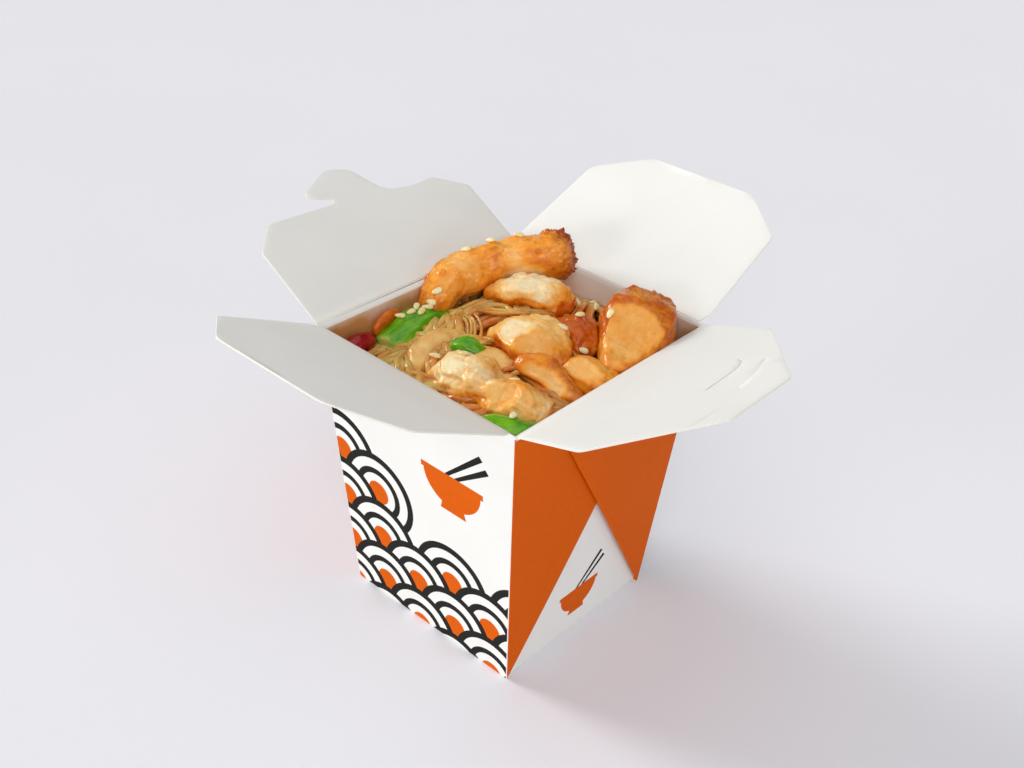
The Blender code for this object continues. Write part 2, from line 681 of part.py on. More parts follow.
def strand_routes(trees):
    """Winding routes over the bare heap that keep clear of the other food, the walls and each other."""
    draw = random.Random(STRAND_SEED)
    routes = []
    clear = STRAND_RADIUS + STRAND_CLEARANCE

    def is_free(point, earlier):
        half_x, half_y = inner_half(point.z)
        if abs(point.x) > half_x - clear or abs(point.y) > half_y - clear:
            return False
        for tree in trees:
            near = tree.find_nearest(point * MM)
            if near[0] is not None and near[3] < clear * MM:
                return False
            hit = tree.ray_cast(point * MM, Vector((0, 0, 1)))
            if hit[0] is not None:
                return False
        return all((point - other).length > STRAND_SPACING for other in earlier)

    used = []
    for _ in range(STRAND_TRIES):
        if len(routes) == STRAND_COUNT:
            break
        half_x, half_y = inner_half(HEAP_LEVEL)
        x = draw.uniform(-half_x, half_x)
        y = draw.uniform(-half_y, half_y)
        heading = draw.uniform(0, 2 * math.pi)
        layer = STRAND_LAYERS[len(routes) % len(STRAND_LAYERS)]
        route = []
        for _ in range(STRAND_LONGEST):
            for turn in STRAND_TURNS:
                way = heading + turn + draw.uniform(-STRAND_WANDER, STRAND_WANDER)
                ahead = (x + math.cos(way) * STRAND_STEP, y + math.sin(way) * STRAND_STEP)
                point = Vector((*ahead, heap_height(*ahead) + STRAND_RADIUS * layer))
                if is_free(point, used):
                    break
            else:
                break
            route.append(point)
            x, y = ahead
            heading = way
        if len(route) >= STRAND_SHORTEST:
            routes.append(route)
            used.extend(route)
    return routes


def make_noodles(pieces):
    """The heap of noodles: a core that fills the box, with the strands that show fused on."""
    heap = object_from(heap_solid(0.0, 0.0, BASE_BOARD + GAP), "noodles", "glass_noodle")
    trees = [tree_of(piece) for piece in pieces]
    strands = [object_from(strand_solid(route), "strand") for route in strand_routes(trees)]
    apply_boolean(heap, "UNION", strands)
    keep_largest(heap)
    lay_seeds(heap, HEAP_SEEDS)
    return heap


def main():
    clear_scene()
    make_carton()
    for name in FLAPS:
        make_flap(name)
    room = free_space()
    pieces = [make_lump(name, room) for name in LUMPS]
    drop(room)
    make_noodles(pieces)
    for piece in pieces:
        if piece.name in SEEDS:
            lay_seeds(piece, SEEDS[piece.name])


main()
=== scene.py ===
"""Open noodle takeaway box: printed folding board with four lid flaps, and the food that it holds.

Values in the code are in millimetres, and meshes and settings are in metres. +Z is up, the printed
walls face -Y and +Y, and the end walls with the folded webs face -X and +X.
"""
import json
import math
import random

import bmesh
import bpy
import numpy as np
from bpy.props import FloatProperty, FloatVectorProperty, IntProperty, PointerProperty
from mathutils import Matrix, Vector, noise
from mathutils.bvhtree import BVHTree
from mathutils.geometry import delaunay_2d_cdt


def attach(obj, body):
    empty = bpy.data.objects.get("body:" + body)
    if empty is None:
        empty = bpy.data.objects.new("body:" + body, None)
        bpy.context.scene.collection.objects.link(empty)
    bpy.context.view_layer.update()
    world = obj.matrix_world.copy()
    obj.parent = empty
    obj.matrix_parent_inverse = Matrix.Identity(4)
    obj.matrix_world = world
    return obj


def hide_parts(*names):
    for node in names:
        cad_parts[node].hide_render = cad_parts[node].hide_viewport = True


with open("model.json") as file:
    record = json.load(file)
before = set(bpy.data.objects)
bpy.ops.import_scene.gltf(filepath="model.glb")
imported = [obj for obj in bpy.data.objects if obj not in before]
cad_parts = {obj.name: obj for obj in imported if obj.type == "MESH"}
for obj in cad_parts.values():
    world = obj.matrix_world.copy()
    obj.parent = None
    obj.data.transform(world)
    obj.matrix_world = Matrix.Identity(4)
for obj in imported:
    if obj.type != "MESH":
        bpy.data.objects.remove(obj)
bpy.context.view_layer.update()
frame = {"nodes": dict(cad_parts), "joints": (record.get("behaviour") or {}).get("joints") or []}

bl_info = {
    "name": "Noodle Takeaway Box",
    "version": (1, 0, 0),
    "blender": (4, 5, 0),
    "location": "3D View > Sidebar > Noodle Box",
    "description": "Makes an open noodle box of printed board with its noodles, chicken and vegetables",
    "category": "Add Mesh",
}

MM = 0.001
UP = Vector((0, 0, 1))

# Sizes of the box, read from the frame
CARTON_POINTS = [vert.co / MM for vert in frame["nodes"]["carton"].data.vertices]
HEIGHT = max(p.z for p in CARTON_POINTS)
RIM_X = max(p.x for p in CARTON_POINTS)
RIM_Y = max(p.y for p in CARTON_POINTS)
BASE_X = max(p.x for p in CARTON_POINTS if p.z < 0.01)
BASE_Y = max(p.y for p in CARTON_POINTS if p.z < 0.01)
FLAPS = {joint["child"]: joint for joint in frame["joints"]}

# How the board is folded at the end walls
WEB = 0.8
PANEL_DEPTH = 2 * WEB
BASE_BOARD = 0.8
WEB_RIM_REACH = 28.5
WEB_FOOT = 1.2
LIP_START = 98.3
LIP_END = 99.5
LIP_DEPTH = 0.05
CORNER_RADIUS = 0.4

# The camera: the photograph's place and angles, looking at a point over the middle of the base
CAMERA_TARGET = (0.0, 0.0, 50.0)
CAMERA_DISTANCE = 402.39
CAMERA_SHIFT = (1.82, 24.41)
CAMERA_AZIMUTH = 40.45
CAMERA_ELEVATION = 32.77
CAMERA_ROLL = 3.44
CAMERA_LENS = 43.95


def linear(hex_colour):
    """The linear RGBA of an sRGB hex colour."""
    channels = [int(hex_colour[i:i + 2], 16) / 255 for i in (1, 3, 5)]
    return (*[c / 12.92 if c <= 0.04045 else ((c + 0.055) / 1.055) ** 2.4 for c in channels], 1.0)


def length(label, about, size):
    """A length setting with its default in millimetres."""
    return FloatProperty(name=label, description=about, default=size * MM, min=0.0, precision=5,
                         subtype="DISTANCE", unit="LENGTH")


def colour(label, about, hex_colour):
    """A colour setting with its default as an sRGB hex value."""
    return FloatVectorProperty(name=label, description=about, default=linear(hex_colour), size=4, min=0.0,
                               max=1.0, subtype="COLOR")


def share(label, about, value):
    """A setting from 0 to 1."""
    return FloatProperty(name=label, description=about, default=value, min=0.0, max=1.0, subtype="FACTOR")


def strength(label, about, value):
    """A light's strength in watts on a square metre."""
    return FloatProperty(name=label, description=about, default=value, min=0.0)


class BoardSettings(bpy.types.PropertyGroup):
    """Sizes and colours of the folding board and its print."""
    board: length("Board", "Thickness of the folding board", 0.5)
    crease: length("Crease", "Radius of the rounded crease that a flap turns on", 0.42)
    bow: length("Bow", "How far a flap curls between its hinge and its tip", 1.1)
    web_lift: length("Web lift", "How far the folded edge of an outer web stands off the end wall", 1.1)
    wave: length("Wave", "Radius of one scale of the printed wave pattern", 15.5)
    band: length("Band", "Width of a printed black band", 2.5)
    white: colour("White", "Colour of the coated board", "#F1F1EC")
    # This colour of the inside is sauce stains with painted warm shade and bounce light mixed in.
    stain_and_shade: colour("Stain", "Colour of the inside where sauce has soaked in", "#C48A52")
    orange: colour("Orange ink", "Colour of the orange print", "#DC5F00")
    black: colour("Black ink", "Colour of the black print", "#232320")
    edge: colour("Cut edge", "Colour of the bare fibres at a cut edge", "#F0ECE0")


class MeatSettings(bpy.types.PropertyGroup):
    """Sizes and colours of the chicken."""
    cell: length("Cell", "Size of the mesh cells of a piece of food", 0.5)
    bulge: length("Bulge", "Height of the soft bulges of the meat", 0.6)
    fibre: length("Fibre", "Depth of the furrows between the fibres", 0.26)
    crag: length("Crag", "Height of the crags of the fried crust", 1.25)
    cream: colour("Cream", "Colour of bare cooked meat", "#FFECBE")
    tan: colour("Tan", "Colour of meat with a thin glaze", "#FFC976")
    gold: colour("Gold", "Colour of glazed meat", "#F8A02A")
    orange: colour("Orange", "Colour where the glaze is thick", "#CC5E02")
    crust: colour("Crust", "Colour of the darkest fried crust", "#A03C06")


class VegetableSettings(bpy.types.PropertyGroup):
    """Colours of the vegetables and the seeds."""
    green: colour("Green", "Colour of the green pepper's skin", "#76B80E")
    deep_green: colour("Deep green", "Darkest streaks of the green pepper", "#388A04")
    flesh: colour("Flesh", "Pale flesh at the green pepper's cut sides", "#B4C25E")
    red: colour("Red", "Colour of the red pepper", "#B0161C")
    carrot: colour("Carrot", "Colour of the carrot", "#DE7A14")
    onion: colour("Onion", "Colour of the cooked onion", "#FFD488")
    seed: colour("Seed", "Colour of the sesame seeds", "#FFF0C6")
    seed_length: length("Seed length", "Length of a sesame seed", 3.5)
    seed_width: length("Seed width", "Width of a sesame seed", 2.1)
    seed_thickness: length("Seed thickness", "Thickness of a sesame seed", 1.2)


class NoodleSettings(bpy.types.PropertyGroup):
    """Sizes and colours of the glass noodles."""
    radius: length("Radius", "Radius of one noodle", 1.0)
    pile: length("Pile", "Height of the loose noodles over the packed ones", 5.2)
    bundles: IntProperty(name="Bundles", description="Number of bundles of noodles that are laid", default=40,
                         min=1, max=200)
    seed: IntProperty(name="Seed", description="Start of the random draw that lays the noodles", default=12)
    pale: colour("Pale", "Colour of a thin, clear noodle", "#FFC86A")
    deep: colour("Deep", "Colour of a noodle soaked in sauce", "#DC6E10")


class StageSettings(bpy.types.PropertyGroup):
    """The floor and the lights."""
    floor: colour("Floor", "Colour of the floor", "#EEEFF5")
    sky: colour("Surroundings", "Colour of the soft light all round", "#EFEDF7")
    ambient: share("Ambient", "Strength of the soft light overhead", 0.1)
    horizon: share("Horizon", "Strength of the soft light near the horizon", 0.9)
    top: strength("Top light", "Strength of the broad light overhead", 1.2)
    left: strength("Left light", "Strength of the light from the left", 1.78)
    right: strength("Right light", "Strength of the light from the right of the camera", 0.95)
    front: strength("Front light", "Strength of the low light on the printed wall", 1.1)
    side: strength("Side light", "Strength of the low light on the end wall", 0.4)


# Plain functions for nodes, meshes and outlines

def link(tree, node, inputs):
    """Sets inputs of a node: each is a value, or a link from a node and its output."""
    for key, value in inputs.items():
        if isinstance(value, tuple) and isinstance(value[0], bpy.types.Node):
            tree.links.new(value[0].outputs[value[1]], node.inputs[key])
        else:
            node.inputs[key].default_value = value


def add(tree, kind, inputs=None, stops=(), **settings):
    """Adds a shader node with its settings, its inputs and the stops of its colour ramp."""
    made = tree.nodes.new("ShaderNode" + kind)
    for key, value in settings.items():
        setattr(made, key, value)
    link(tree, made, inputs or {})
    for k, (place, value) in enumerate(stops):
        elements = made.color_ramp.elements
        element = elements[k] if k < 2 else elements.new(place)
        element.position = place
        element.color = value
    return made


def new_finish(name, **sockets):
    """A material with its Principled shader's constant values, and the link from its surface coordinates."""
    made = bpy.data.materials.new(name)
    made.use_nodes = True
    tree = made.node_tree
    shader = tree.nodes["Principled BSDF"]
    for key, value in sockets.items():
        shader.inputs[key.replace("_", " ").title().replace("Ior", "IOR")].default_value = value
    return made, tree, shader, (add(tree, "TexCoord"), "Object")


def per(millimetres):
    """The texture scale at which one cell of a pattern has this size."""
    return 1 / (millimetres * MM)


def fill(value):
    """A grey colour from one value."""
    return (value, value, value, 1.0)


def shaded(tree, base, pattern, stops, much=1.0):
    """A colour that a pattern darkens, through a ramp of greys."""
    greys = add(tree, "ValToRGB", {0: pattern}, [(place, fill(value)) for place, value in stops])
    return add(tree, "Mix", {0: much, 6: base, 7: (greys, 0)}, data_type="RGBA", blend_type="MULTIPLY")


def cover(tree, shader, base, relief, much, depth):
    """Links a finish's colour, and a bump from a pattern, this deep in millimetres."""
    bump = add(tree, "Bump", {"Strength": much, "Distance": depth * MM, "Height": relief})
    link(tree, shader, {"Base Color": base, "Normal": (bump, 0)})


def object_from(bm, name, finishes, smooth=35):
    """Turns a bmesh in millimetres into an object in metres with its finishes."""
    bmesh.ops.scale(bm, vec=(MM, MM, MM), verts=bm.verts)
    mesh = bpy.data.meshes.new(name)
    bm.to_mesh(mesh)
    bm.free()
    for made in finishes:
        mesh.materials.append(made)
    mesh.shade_smooth()
    mesh.set_sharp_from_angle(angle=math.radians(smooth))
    item = bpy.data.objects.new(name, mesh)
    bpy.context.scene.collection.objects.link(item)
    return item


def apply_modifiers(item):
    """Puts the result of an object's modifiers in its mesh."""
    graph = bpy.context.evaluated_depsgraph_get()
    result = bpy.data.meshes.new_from_object(item.evaluated_get(graph))
    old = item.data
    item.modifiers.clear()
    item.data = result
    bpy.data.meshes.remove(old)
    result.name = item.name


def round_steps(sides):
    """The cosine and sine of each step round a circle."""
    angles = [2 * math.pi * k / sides for k in range(sides)]
    return [(math.cos(angle), math.sin(angle)) for angle in angles]


def skin(bm, rows, inks=(0,), closed=True):
    """Joins each row of points to the next one with faces; the last ink goes on to the end of the row."""
    count = len(rows[0])
    for low, high in zip(rows, rows[1:]):
        for k in range(count if closed else count - 1):
            face = bm.faces.new((low[k], low[(k + 1) % count], high[(k + 1) % count], high[k]))
            face.material_index = inks[min(k, len(inks) - 1)]


def values_of(items, key, width=3, kind=float):
    """One row of numbers for each point or edge of a mesh."""
    found = np.zeros(len(items) * width, dtype=kind)
    items.foreach_get(key, found)
    return found.reshape(-1, width)


def dress(item, body, slot, *nodes):
    """Says which body a piece moves with and the nodes that it stands for; the slot is not used."""
    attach(item, body)
    if nodes:
        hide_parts(*nodes)


def tree_of(*items):
    """A search tree over the triangles of some objects, in metres."""
    points = []
    corners = []
    for item in items:
        start = len(points)
        points += [item.matrix_world @ vert.co for vert in item.data.vertices]
        corners += [[start + v for v in face.vertices] for face in item.data.polygons]
    return BVHTree.FromPolygons(points, corners)


def is_inside(point, loop):
    """Whether a flat point is inside a closed outline."""
    held = False
    for a, b in zip(loop, loop[1:] + loop[:1]):
        if (a[1] > point[1]) != (b[1] > point[1]):
            if point[0] < a[0] + (point[1] - a[1]) / (b[1] - a[1]) * (b[0] - a[0]):
                held = not held
    return held


def extent(loop):
    """The lowest and highest corner of a flat outline."""
    return (min(p[0] for p in loop), min(p[1] for p in loop), max(p[0] for p in loop), max(p[1] for p in loop))


def fill_areas(outline, shapes, lines=(), loose=()):
    """Flat points and the triangles that fill an outline, each with the value of the last shape over it."""
    points = []
    edges = []
    for loop in [outline] + [shape for shape, _ in shapes]:
        start = len(points)
        points += [Vector(p) for p in loop]
        edges += [(start + k, start + (k + 1) % len(loop)) for k in range(len(loop))]
    for line in lines:
        start = len(points)
        points += [Vector(p) for p in line]
        edges += [(start + k, start + k + 1) for k in range(len(line) - 1)]
    points += [Vector(p) for p in loose]
    flat, _, faces = delaunay_2d_cdt(points, edges, [], 0, 1e-4)[:3]
    extents = [extent(shape) for shape, _ in shapes]
    found = []
    for face in faces:
        centre = sum((flat[v] for v in face), Vector((0, 0))) / len(face)
        if not is_inside(centre, outline):
            continue
        value = 0
        for (shape, ink), (low_x, low_y, high_x, high_y) in zip(shapes, extents):
            if low_x < centre.x < high_x and low_y < centre.y < high_y and is_inside(centre, shape):
                value = ink
        found.append((face, value))
    return flat, found


def close_seams(bm, reach=0.004):
    """Splits open edges where another panel has a point on them, so that the panels join up."""
    bmesh.ops.remove_doubles(bm, verts=bm.verts, dist=reach)
    loose = [vert for vert in bm.verts if any(edge.is_boundary for edge in vert.link_edges)]
    for vert in loose:
        for edge in [edge for edge in bm.edges if edge.is_boundary and vert not in edge.verts]:
            a = edge.verts[0].co
            b = edge.verts[1].co
            along = (vert.co - a).dot(b - a) / max((b - a).length_squared, 1e-9)
            if 0 < along < 1 and (a.lerp(b, along) - vert.co).length < reach:
                _, made = bmesh.utils.edge_split(edge, edge.verts[0], along)
                made.co = vert.co
                break
    bmesh.ops.remove_doubles(bm, verts=bm.verts, dist=reach)


# Finishes of the board

def board_finish(name, colour_value, darkest=0.955):
    """Bleached folding board with a matt clay coat: near white, faintly cloudy, with fibres that just show."""
    made, tree, shader, place = new_finish(name, roughness=0.52, ior=1.5)
    cloud = add(tree, "TexNoise", {"Vector": place, "Scale": per(22), "Detail": 3.0})
    fibres = add(tree, "TexNoise", {"Vector": place, "Scale": per(0.7), "Detail": 4.0, "Distortion": 0.6})
    tone = add(tree, "Mix", {0: 0.35, 2: (cloud, 0), 3: (fibres, 0)}, data_type="FLOAT")
    mixed = shaded(tree, colour_value, (tone, 0), ((0.3, darkest), (0.7, 1.0)))
    cover(tree, shader, (mixed, 2), (fibres, 0), 0.25, 0.05)
    return made


# The inside's sauce stains with painted warm shade and bounce light mixed in: the heights where the colour starts and
# where it is full, and how strong it is across the box, from -X to +X
STAIN_AND_SHADE_START = 107.0
STAIN_AND_SHADE_FULL = 92.0
STAIN_AND_SHADE_REACH = 38.0
STAIN_AND_SHADE_ACROSS = ((0.0, 1.0), (1.0, 1.0), (0.2, 0.5), (0.6, 0.05), (0.85, 0.6))


def stain_and_painted_shade_finish(settings):
    """The inside of the walls: sauce stains from the food upwards, less near the rim, with painted warm shade and
    bounce light mixed into the same colour.
    """
    made, tree, shader, place = new_finish("folding_board_soaked", roughness=0.46, ior=1.5)
    split = add(tree, "SeparateXYZ", {0: place})
    cloud = add(tree, "TexNoise", {"Vector": place, "Scale": per(9), "Detail": 4.0})
    rise = add(tree, "MapRange", {0: (split, "Z"), 1: STAIN_AND_SHADE_START * MM, 2: STAIN_AND_SHADE_FULL * MM, 3: 0.0, 4: 1.0},
               interpolation_type="SMOOTHSTEP")
    across = add(tree, "MapRange", {0: (split, "X"), 1: -STAIN_AND_SHADE_REACH * MM, 2: STAIN_AND_SHADE_REACH * MM})
    sauce_and_shade_lean = add(tree, "ValToRGB", {0: (across, 0)}, [(x, fill(value)) for x, value in STAIN_AND_SHADE_ACROSS])
    # How much of the sauce stains and painted shade: none high up, full lower down, and changing across the box from
    # -X to +X.
    wet = add(tree, "Math", {0: (rise, 0), 1: (sauce_and_shade_lean, 0)}, operation="MULTIPLY")
    patch = add(tree, "MapRange", {0: (cloud, 0), 1: 0.3, 2: 0.7, 3: 0.8, 4: 1.5})
    amount = add(tree, "Math", {0: (wet, 0), 1: (patch, 0)}, operation="MULTIPLY", use_clamp=True)
    mixed = add(tree, "Mix", {0: (amount, 0), 6: settings.white, 7: settings.stain_and_shade}, data_type="RGBA")
    cover(tree, shader, (mixed, 2), (cloud, 0), 0.3, 0.05)
    return made


def ink_finish(name, colour_value):
    """Offset ink under a satin varnish: even and strong, with a faint mottle from the board's fibres."""
    made, tree, shader, place = new_finish(name, roughness=0.6, ior=1.5, specular_ior_level=0.06)
    mottle = add(tree, "TexNoise", {"Vector": place, "Scale": per(1.6), "Detail": 3.0})
    mixed = shaded(tree, colour_value, (mottle, 0), ((0.25, 0.93), (0.75, 1.0)))
    cover(tree, shader, (mixed, 2), (mottle, 0), 0.15, 0.03)
    return made


def board_finishes(settings):
    """The board's finishes, in the order of the numbers below."""
    found = bpy.data.materials.get
    return [
        found("folding_board_coated") or board_finish("folding_board_coated", settings.white),
        found("ink_black_satin") or ink_finish("ink_black_satin", settings.black),
        found("ink_orange_satin") or ink_finish("ink_orange_satin", settings.orange),
        found("folding_board_cut") or board_finish("folding_board_cut", settings.edge, 0.90),
        found("folding_board_soaked") or stain_and_painted_shade_finish(settings),
    ]


# The last finish, on the inside, is sauce stains with painted warm shade mixed in.
WHITE, BLACK, ORANGE, EDGE, STAIN_AND_PAINTED_SHADE = range(5)


# The print

def circle(x, y, radius):
    """A round outline."""
    return [(x + radius * c, y + radius * s) for c, s in round_steps(56)]


def bar(a, b, width_a, width_b):
    """A straight bar from a to b, with its own width at each end."""
    a = Vector(a)
    b = Vector(b)
    across = (b - a).normalized().orthogonal()
    return [tuple(p) for p in (a + across * width_a / 2, a - across * width_a / 2,
                               b - across * width_b / 2, b + across * width_b / 2)]


def bowl_pictogram(x, y, size):
    """A bowl with chopsticks, its rim's middle at (x, y) and its rim this wide."""
    half = size / 2

    def at(across, over):
        return x + half * across, y + half * over

    angles = [-math.pi * k / 24 for k in range(25)]
    body = [at(0.92 * math.cos(angle), 0.86 * math.sin(angle)) for angle in angles]
    foot = [at(-0.36, -0.78), at(-0.42, -1.0), at(0.42, -1.0), at(0.36, -0.78)]
    rim = bar(at(-1.0, 0.06), at(1.0, 0.06), half * 0.17, half * 0.17)
    sticks = [bar(at(*a), at(*b), half * 0.09, half * 0.16)
              for a, b in (((-0.30, 0.0), (0.98, 1.22)), ((-0.02, 0.0), (1.16, 0.92)))]
    return [(stick, BLACK) for stick in sticks] + [(body, ORANGE), (foot, ORANGE), (rim, ORANGE)]


# The pattern's upper edge: its height in the middle and at the wall's left side, and how steeply it falls
PATTERN_LOW = 44.0
PATTERN_HIGH = 94.0
PATTERN_FALL = 1.35


def wave_scales(settings, flip):
    """A traditional pattern of overlapping scales in rising rows, higher towards one side."""
    radius = settings.wave / MM
    band = settings.band / MM
    row_step = radius * 0.62
    shapes = []
    for row in range(9, -2, -1):
        for column in range(-3, 4):
            x = (column + 0.5 * (row % 2)) * 2 * radius - 4.0
            y = row * row_step - 2.0
            if y + radius > max(PATTERN_LOW, PATTERN_HIGH - PATTERN_FALL * (x + RIM_X)):
                continue
            for reach, ink in ((radius, BLACK), (radius - band, WHITE), (radius * 0.62, BLACK),
                               (radius * 0.62 - band * 0.9, WHITE), (radius * 0.28, ORANGE)):
                shapes.append((circle(flip * x, y, reach), ink))
    return shapes


# The carton

def outer_half(z):
    """Half sizes of the box's outside at a height, webs included."""
    part = z / HEIGHT
    return BASE_X + (RIM_X - BASE_X) * part, BASE_Y + (RIM_Y - BASE_Y) * part


def web_depth(end, side):
    """How deep a corner's web lies: one of an end wall's two webs lies under the other."""
    return WEB if end * side < 0 else 0.0


def panel_depth(z):
    """How deep an end wall lies behind the webs' outside; its lip bends out over their tops."""
    part = min(1.0, max(0.0, (z - LIP_START) / (LIP_END - LIP_START)))
    return PANEL_DEPTH + (LIP_DEPTH - PANEL_DEPTH) * part


def panel(bm, outline, shapes, place):
    """Adds one flat wall to a mesh, with its print, by a function from flat points to space."""
    flat, faces = fill_areas(outline, shapes)
    verts = [bm.verts.new(place(p)) for p in flat]
    for corners, ink in faces:
        bm.faces.new([verts[v] for v in corners]).material_index = ink
    bmesh.ops.delete(bm, geom=[vert for vert in verts if not vert.link_faces], context="VERTS")


def printed_wall(bm, side, shapes):
    """One printed wall, up to the start of its rounded corners."""
    def reach(end, z):
        return end * (outer_half(z)[0] - web_depth(end, side) - CORNER_RADIUS)

    outline = [(reach(-1, 0), 0.0), (reach(1, 0), 0.0), (reach(1, HEIGHT), HEIGHT), (reach(-1, HEIGHT), HEIGHT)]
    panel(bm, outline, shapes, lambda p: (p[0], side * outer_half(p[1])[1], p[1]))


def end_wall(bm, end, shapes):
    """One end wall, behind its webs."""
    def reach(z):
        return outer_half(z)[1] - CORNER_RADIUS

    def place(p):
        return end * (outer_half(p[1])[0] - panel_depth(p[1])), p[0], p[1]

    for low, high, inks in ((0.0, LIP_START, shapes), (LIP_START, LIP_END, ()), (LIP_END, HEIGHT, ())):
        panel(bm, [(-reach(low), low), (reach(low), low), (reach(high), high), (-reach(high), high)], inks, place)


def corner_strip(bm, end, side):
    """The rounded corner between a printed wall and its web, and the step behind the web."""
    steps = 4
    columns = []
    for z in (0.0, LIP_START, LIP_END, HEIGHT):
        x, y = outer_half(z)
        x -= web_depth(end, side)
        column = []
        for k in range(steps + 1):
            angle = math.pi / 2 * (1 - k / steps)
            column.append((end * (x - CORNER_RADIUS + CORNER_RADIUS * math.cos(angle)),
                           side * (y - CORNER_RADIUS + CORNER_RADIUS * math.sin(angle)), z))
        column.append((end * (outer_half(z)[0] - panel_depth(z)), side * (y - CORNER_RADIUS), z))
        columns.append([bm.verts.new(p) for p in column])
    skin(bm, columns, (WHITE, WHITE, ORANGE), closed=False)


# The inside from the floor to the rim: heights, and how far the lip has opened out there along X and Y
INNER_RINGS = ((BASE_BOARD, 0.0, 0.0), (97.9, 0.0, 0.0), (98.9, 0.2, 0.02), (99.6, 0.7, 0.07), (99.92, 1.25, 0.14),
               (HEIGHT, 1.8, 0.24))
# The lower rings of the inside take the finish of sauce stains with painted warm shade.
STAIN_AND_SHADE_RINGS = 3


def make_carton(settings):
    """The box's walls and base as one closed board shell."""
    board = settings.board / MM
    bm = bmesh.new()
    for side in (-1, 1):
        pictogram = bowl_pictogram(-side * 14.0, 70.0, 25.0)
        printed_wall(bm, side, wave_scales(settings, -side) + pictogram)
    for end in (-1, 1):
        end_wall(bm, end, bowl_pictogram(0.0, 16.5, 19.0))
        for side in (-1, 1):
            corner_strip(bm, end, side)
    close_seams(bm)
    rings = []
    for z, open_x, open_y in INNER_RINGS:
        x, y = outer_half(z)
        x += open_x - PANEL_DEPTH - board
        y += open_y - board
        rings.append([bm.verts.new((sx * x, sy * y, z)) for sx, sy in ((-1, -1), (1, -1), (1, 1), (-1, 1))])
    bm.faces.new(rings[0]).material_index = STAIN_AND_PAINTED_SHADE
    skin(bm, rings[:STAIN_AND_SHADE_RINGS], (STAIN_AND_PAINTED_SHADE,))
    skin(bm, rings[STAIN_AND_SHADE_RINGS - 1:])
    for level in (0.0, HEIGHT):
        rim = [edge for edge in bm.edges
               if edge.is_boundary and all(abs(vert.co.z - level) < 0.01 for vert in edge.verts)]
        filled = bmesh.ops.triangle_fill(bm, use_beauty=True, use_dissolve=False, edges=rim)
        for face in [item for item in filled["geom"] if isinstance(item, bmesh.types.BMFace)]:
            face.material_index = EDGE if level else WHITE
    bmesh.ops.recalc_face_normals(bm, faces=bm.faces)
    made = object_from(bm, "box_walls", board_finishes(settings))
    dress(made, "box", "board_white", "carton")


def web_sheet(bm, end, side, settings):
    """One folded web: a double layer with a rounded fold along its free edge, which stands off a little."""
    rows = 30
    columns = 14
    turns = 5
    depth = web_depth(end, side)
    lift = settings.web_lift / MM * (0.5 if depth else 1.0)
    thickness = WEB - 0.06
    grid = []
    for r in range(rows + 1):
        z = WEB_FOOT + (LIP_START - 0.05 - WEB_FOOT) * r / rows
        part = z / HEIGHT
        x, y = outer_half(z)
        corner = side * (y - CORNER_RADIUS)
        free = side * BASE_Y * (1 - part) - side * WEB_RIM_REACH * part
        outer = []
        inner = []
        for c in range(columns + 1):
            w = c / columns
            across = corner + (free - corner) * w
            proud = lift * w ** 2 * math.sin(math.pi * min(part * 1.05, 1.0)) ** 0.8
            outer.append(Vector((end * (x - depth + proud), across, z)))
            inner.append(Vector((end * (x - depth + proud * 0.85 - thickness), across, z)))
        middle = (outer[-1] + inner[-1]) / 2
        half = (outer[-1] - inner[-1]) / 2
        away = Vector((0, math.copysign(half.length, free - corner), 0))
        fold = [middle + half * math.cos(math.pi * k / turns) + away * math.sin(math.pi * k / turns)
                for k in range(1, turns)]
        grid.append([bm.verts.new(p) for p in outer + fold + list(reversed(inner))])
    skin(bm, grid, (ORANGE,))
    bm.faces.new(reversed(grid[0]))
    bm.faces.new(grid[-1]).material_index = EDGE


def make_webs(settings):
    """The four folded webs, two on each end wall."""
    bm = bmesh.new()
    for end in (-1, 1):
        for side in (-1, 1):
            web_sheet(bm, end, side, settings)
    bmesh.ops.recalc_face_normals(bm, faces=bm.faces)
    made = object_from(bm, "folded_webs", board_finishes(settings))
    dress(made, "box", "print_orange")


# The flaps

# Lines pressed in the slit flap, beside the slit, in the flap's plane: along the hinge and away from it
SCORES = {
    "flap_slit": (((-4.0, 37.4), (-13.0, 36.4), (-23.0, 34.0)), ((22.0, 40.2), (17.0, 41.0), (12.0, 40.8))),
}
SCORE_DEPTH = 0.16
SCORE_HALF = 0.35
FLAP_ROOT = 0.12
FLAP_FACE_IN = 0.15


def flap_plane(name):
    """A flap's hinge point, and its directions along the hinge, away from it and out of its inner face."""
    joint = FLAPS[name]
    along = Vector(joint["axis"])
    widest = max(frame["nodes"][name].data.polygons, key=lambda face: face.area).normal
    normal = (widest if widest.z > 0 else -widest).normalized()
    return Vector(joint["pos_m"]) / MM, along, normal.cross(along).normalized(), normal


def flap_loops(name):
    """The closed outlines of a flap's inner face in its own plane, the widest first."""
    hinge, along, away, normal = flap_plane(name)
    mesh = frame["nodes"][name].data
    used = {}
    for face in mesh.polygons:
        if face.normal.dot(normal) < 0.99:
            continue
        flat = [mesh.vertices[v].co / MM - hinge for v in face.vertices]
        flat = [(round(p.dot(along), 3), round(p.dot(away), 3)) for p in flat]
        for a, b in zip(flat, flat[1:] + flat[:1]):
            if (b, a) in used:
                del used[(b, a)]
            else:
                used[(a, b)] = True
    following = dict(used.keys())
    loops = []
    while following:
        start = next(iter(following))
        loop = [start]
        place = following.pop(start)
        while place != start:
            loop.append(place)
            place = following.pop(place)
        loops.append(loop)
    return sorted(loops, key=lambda loop: extent(loop)[0] - extent(loop)[2])


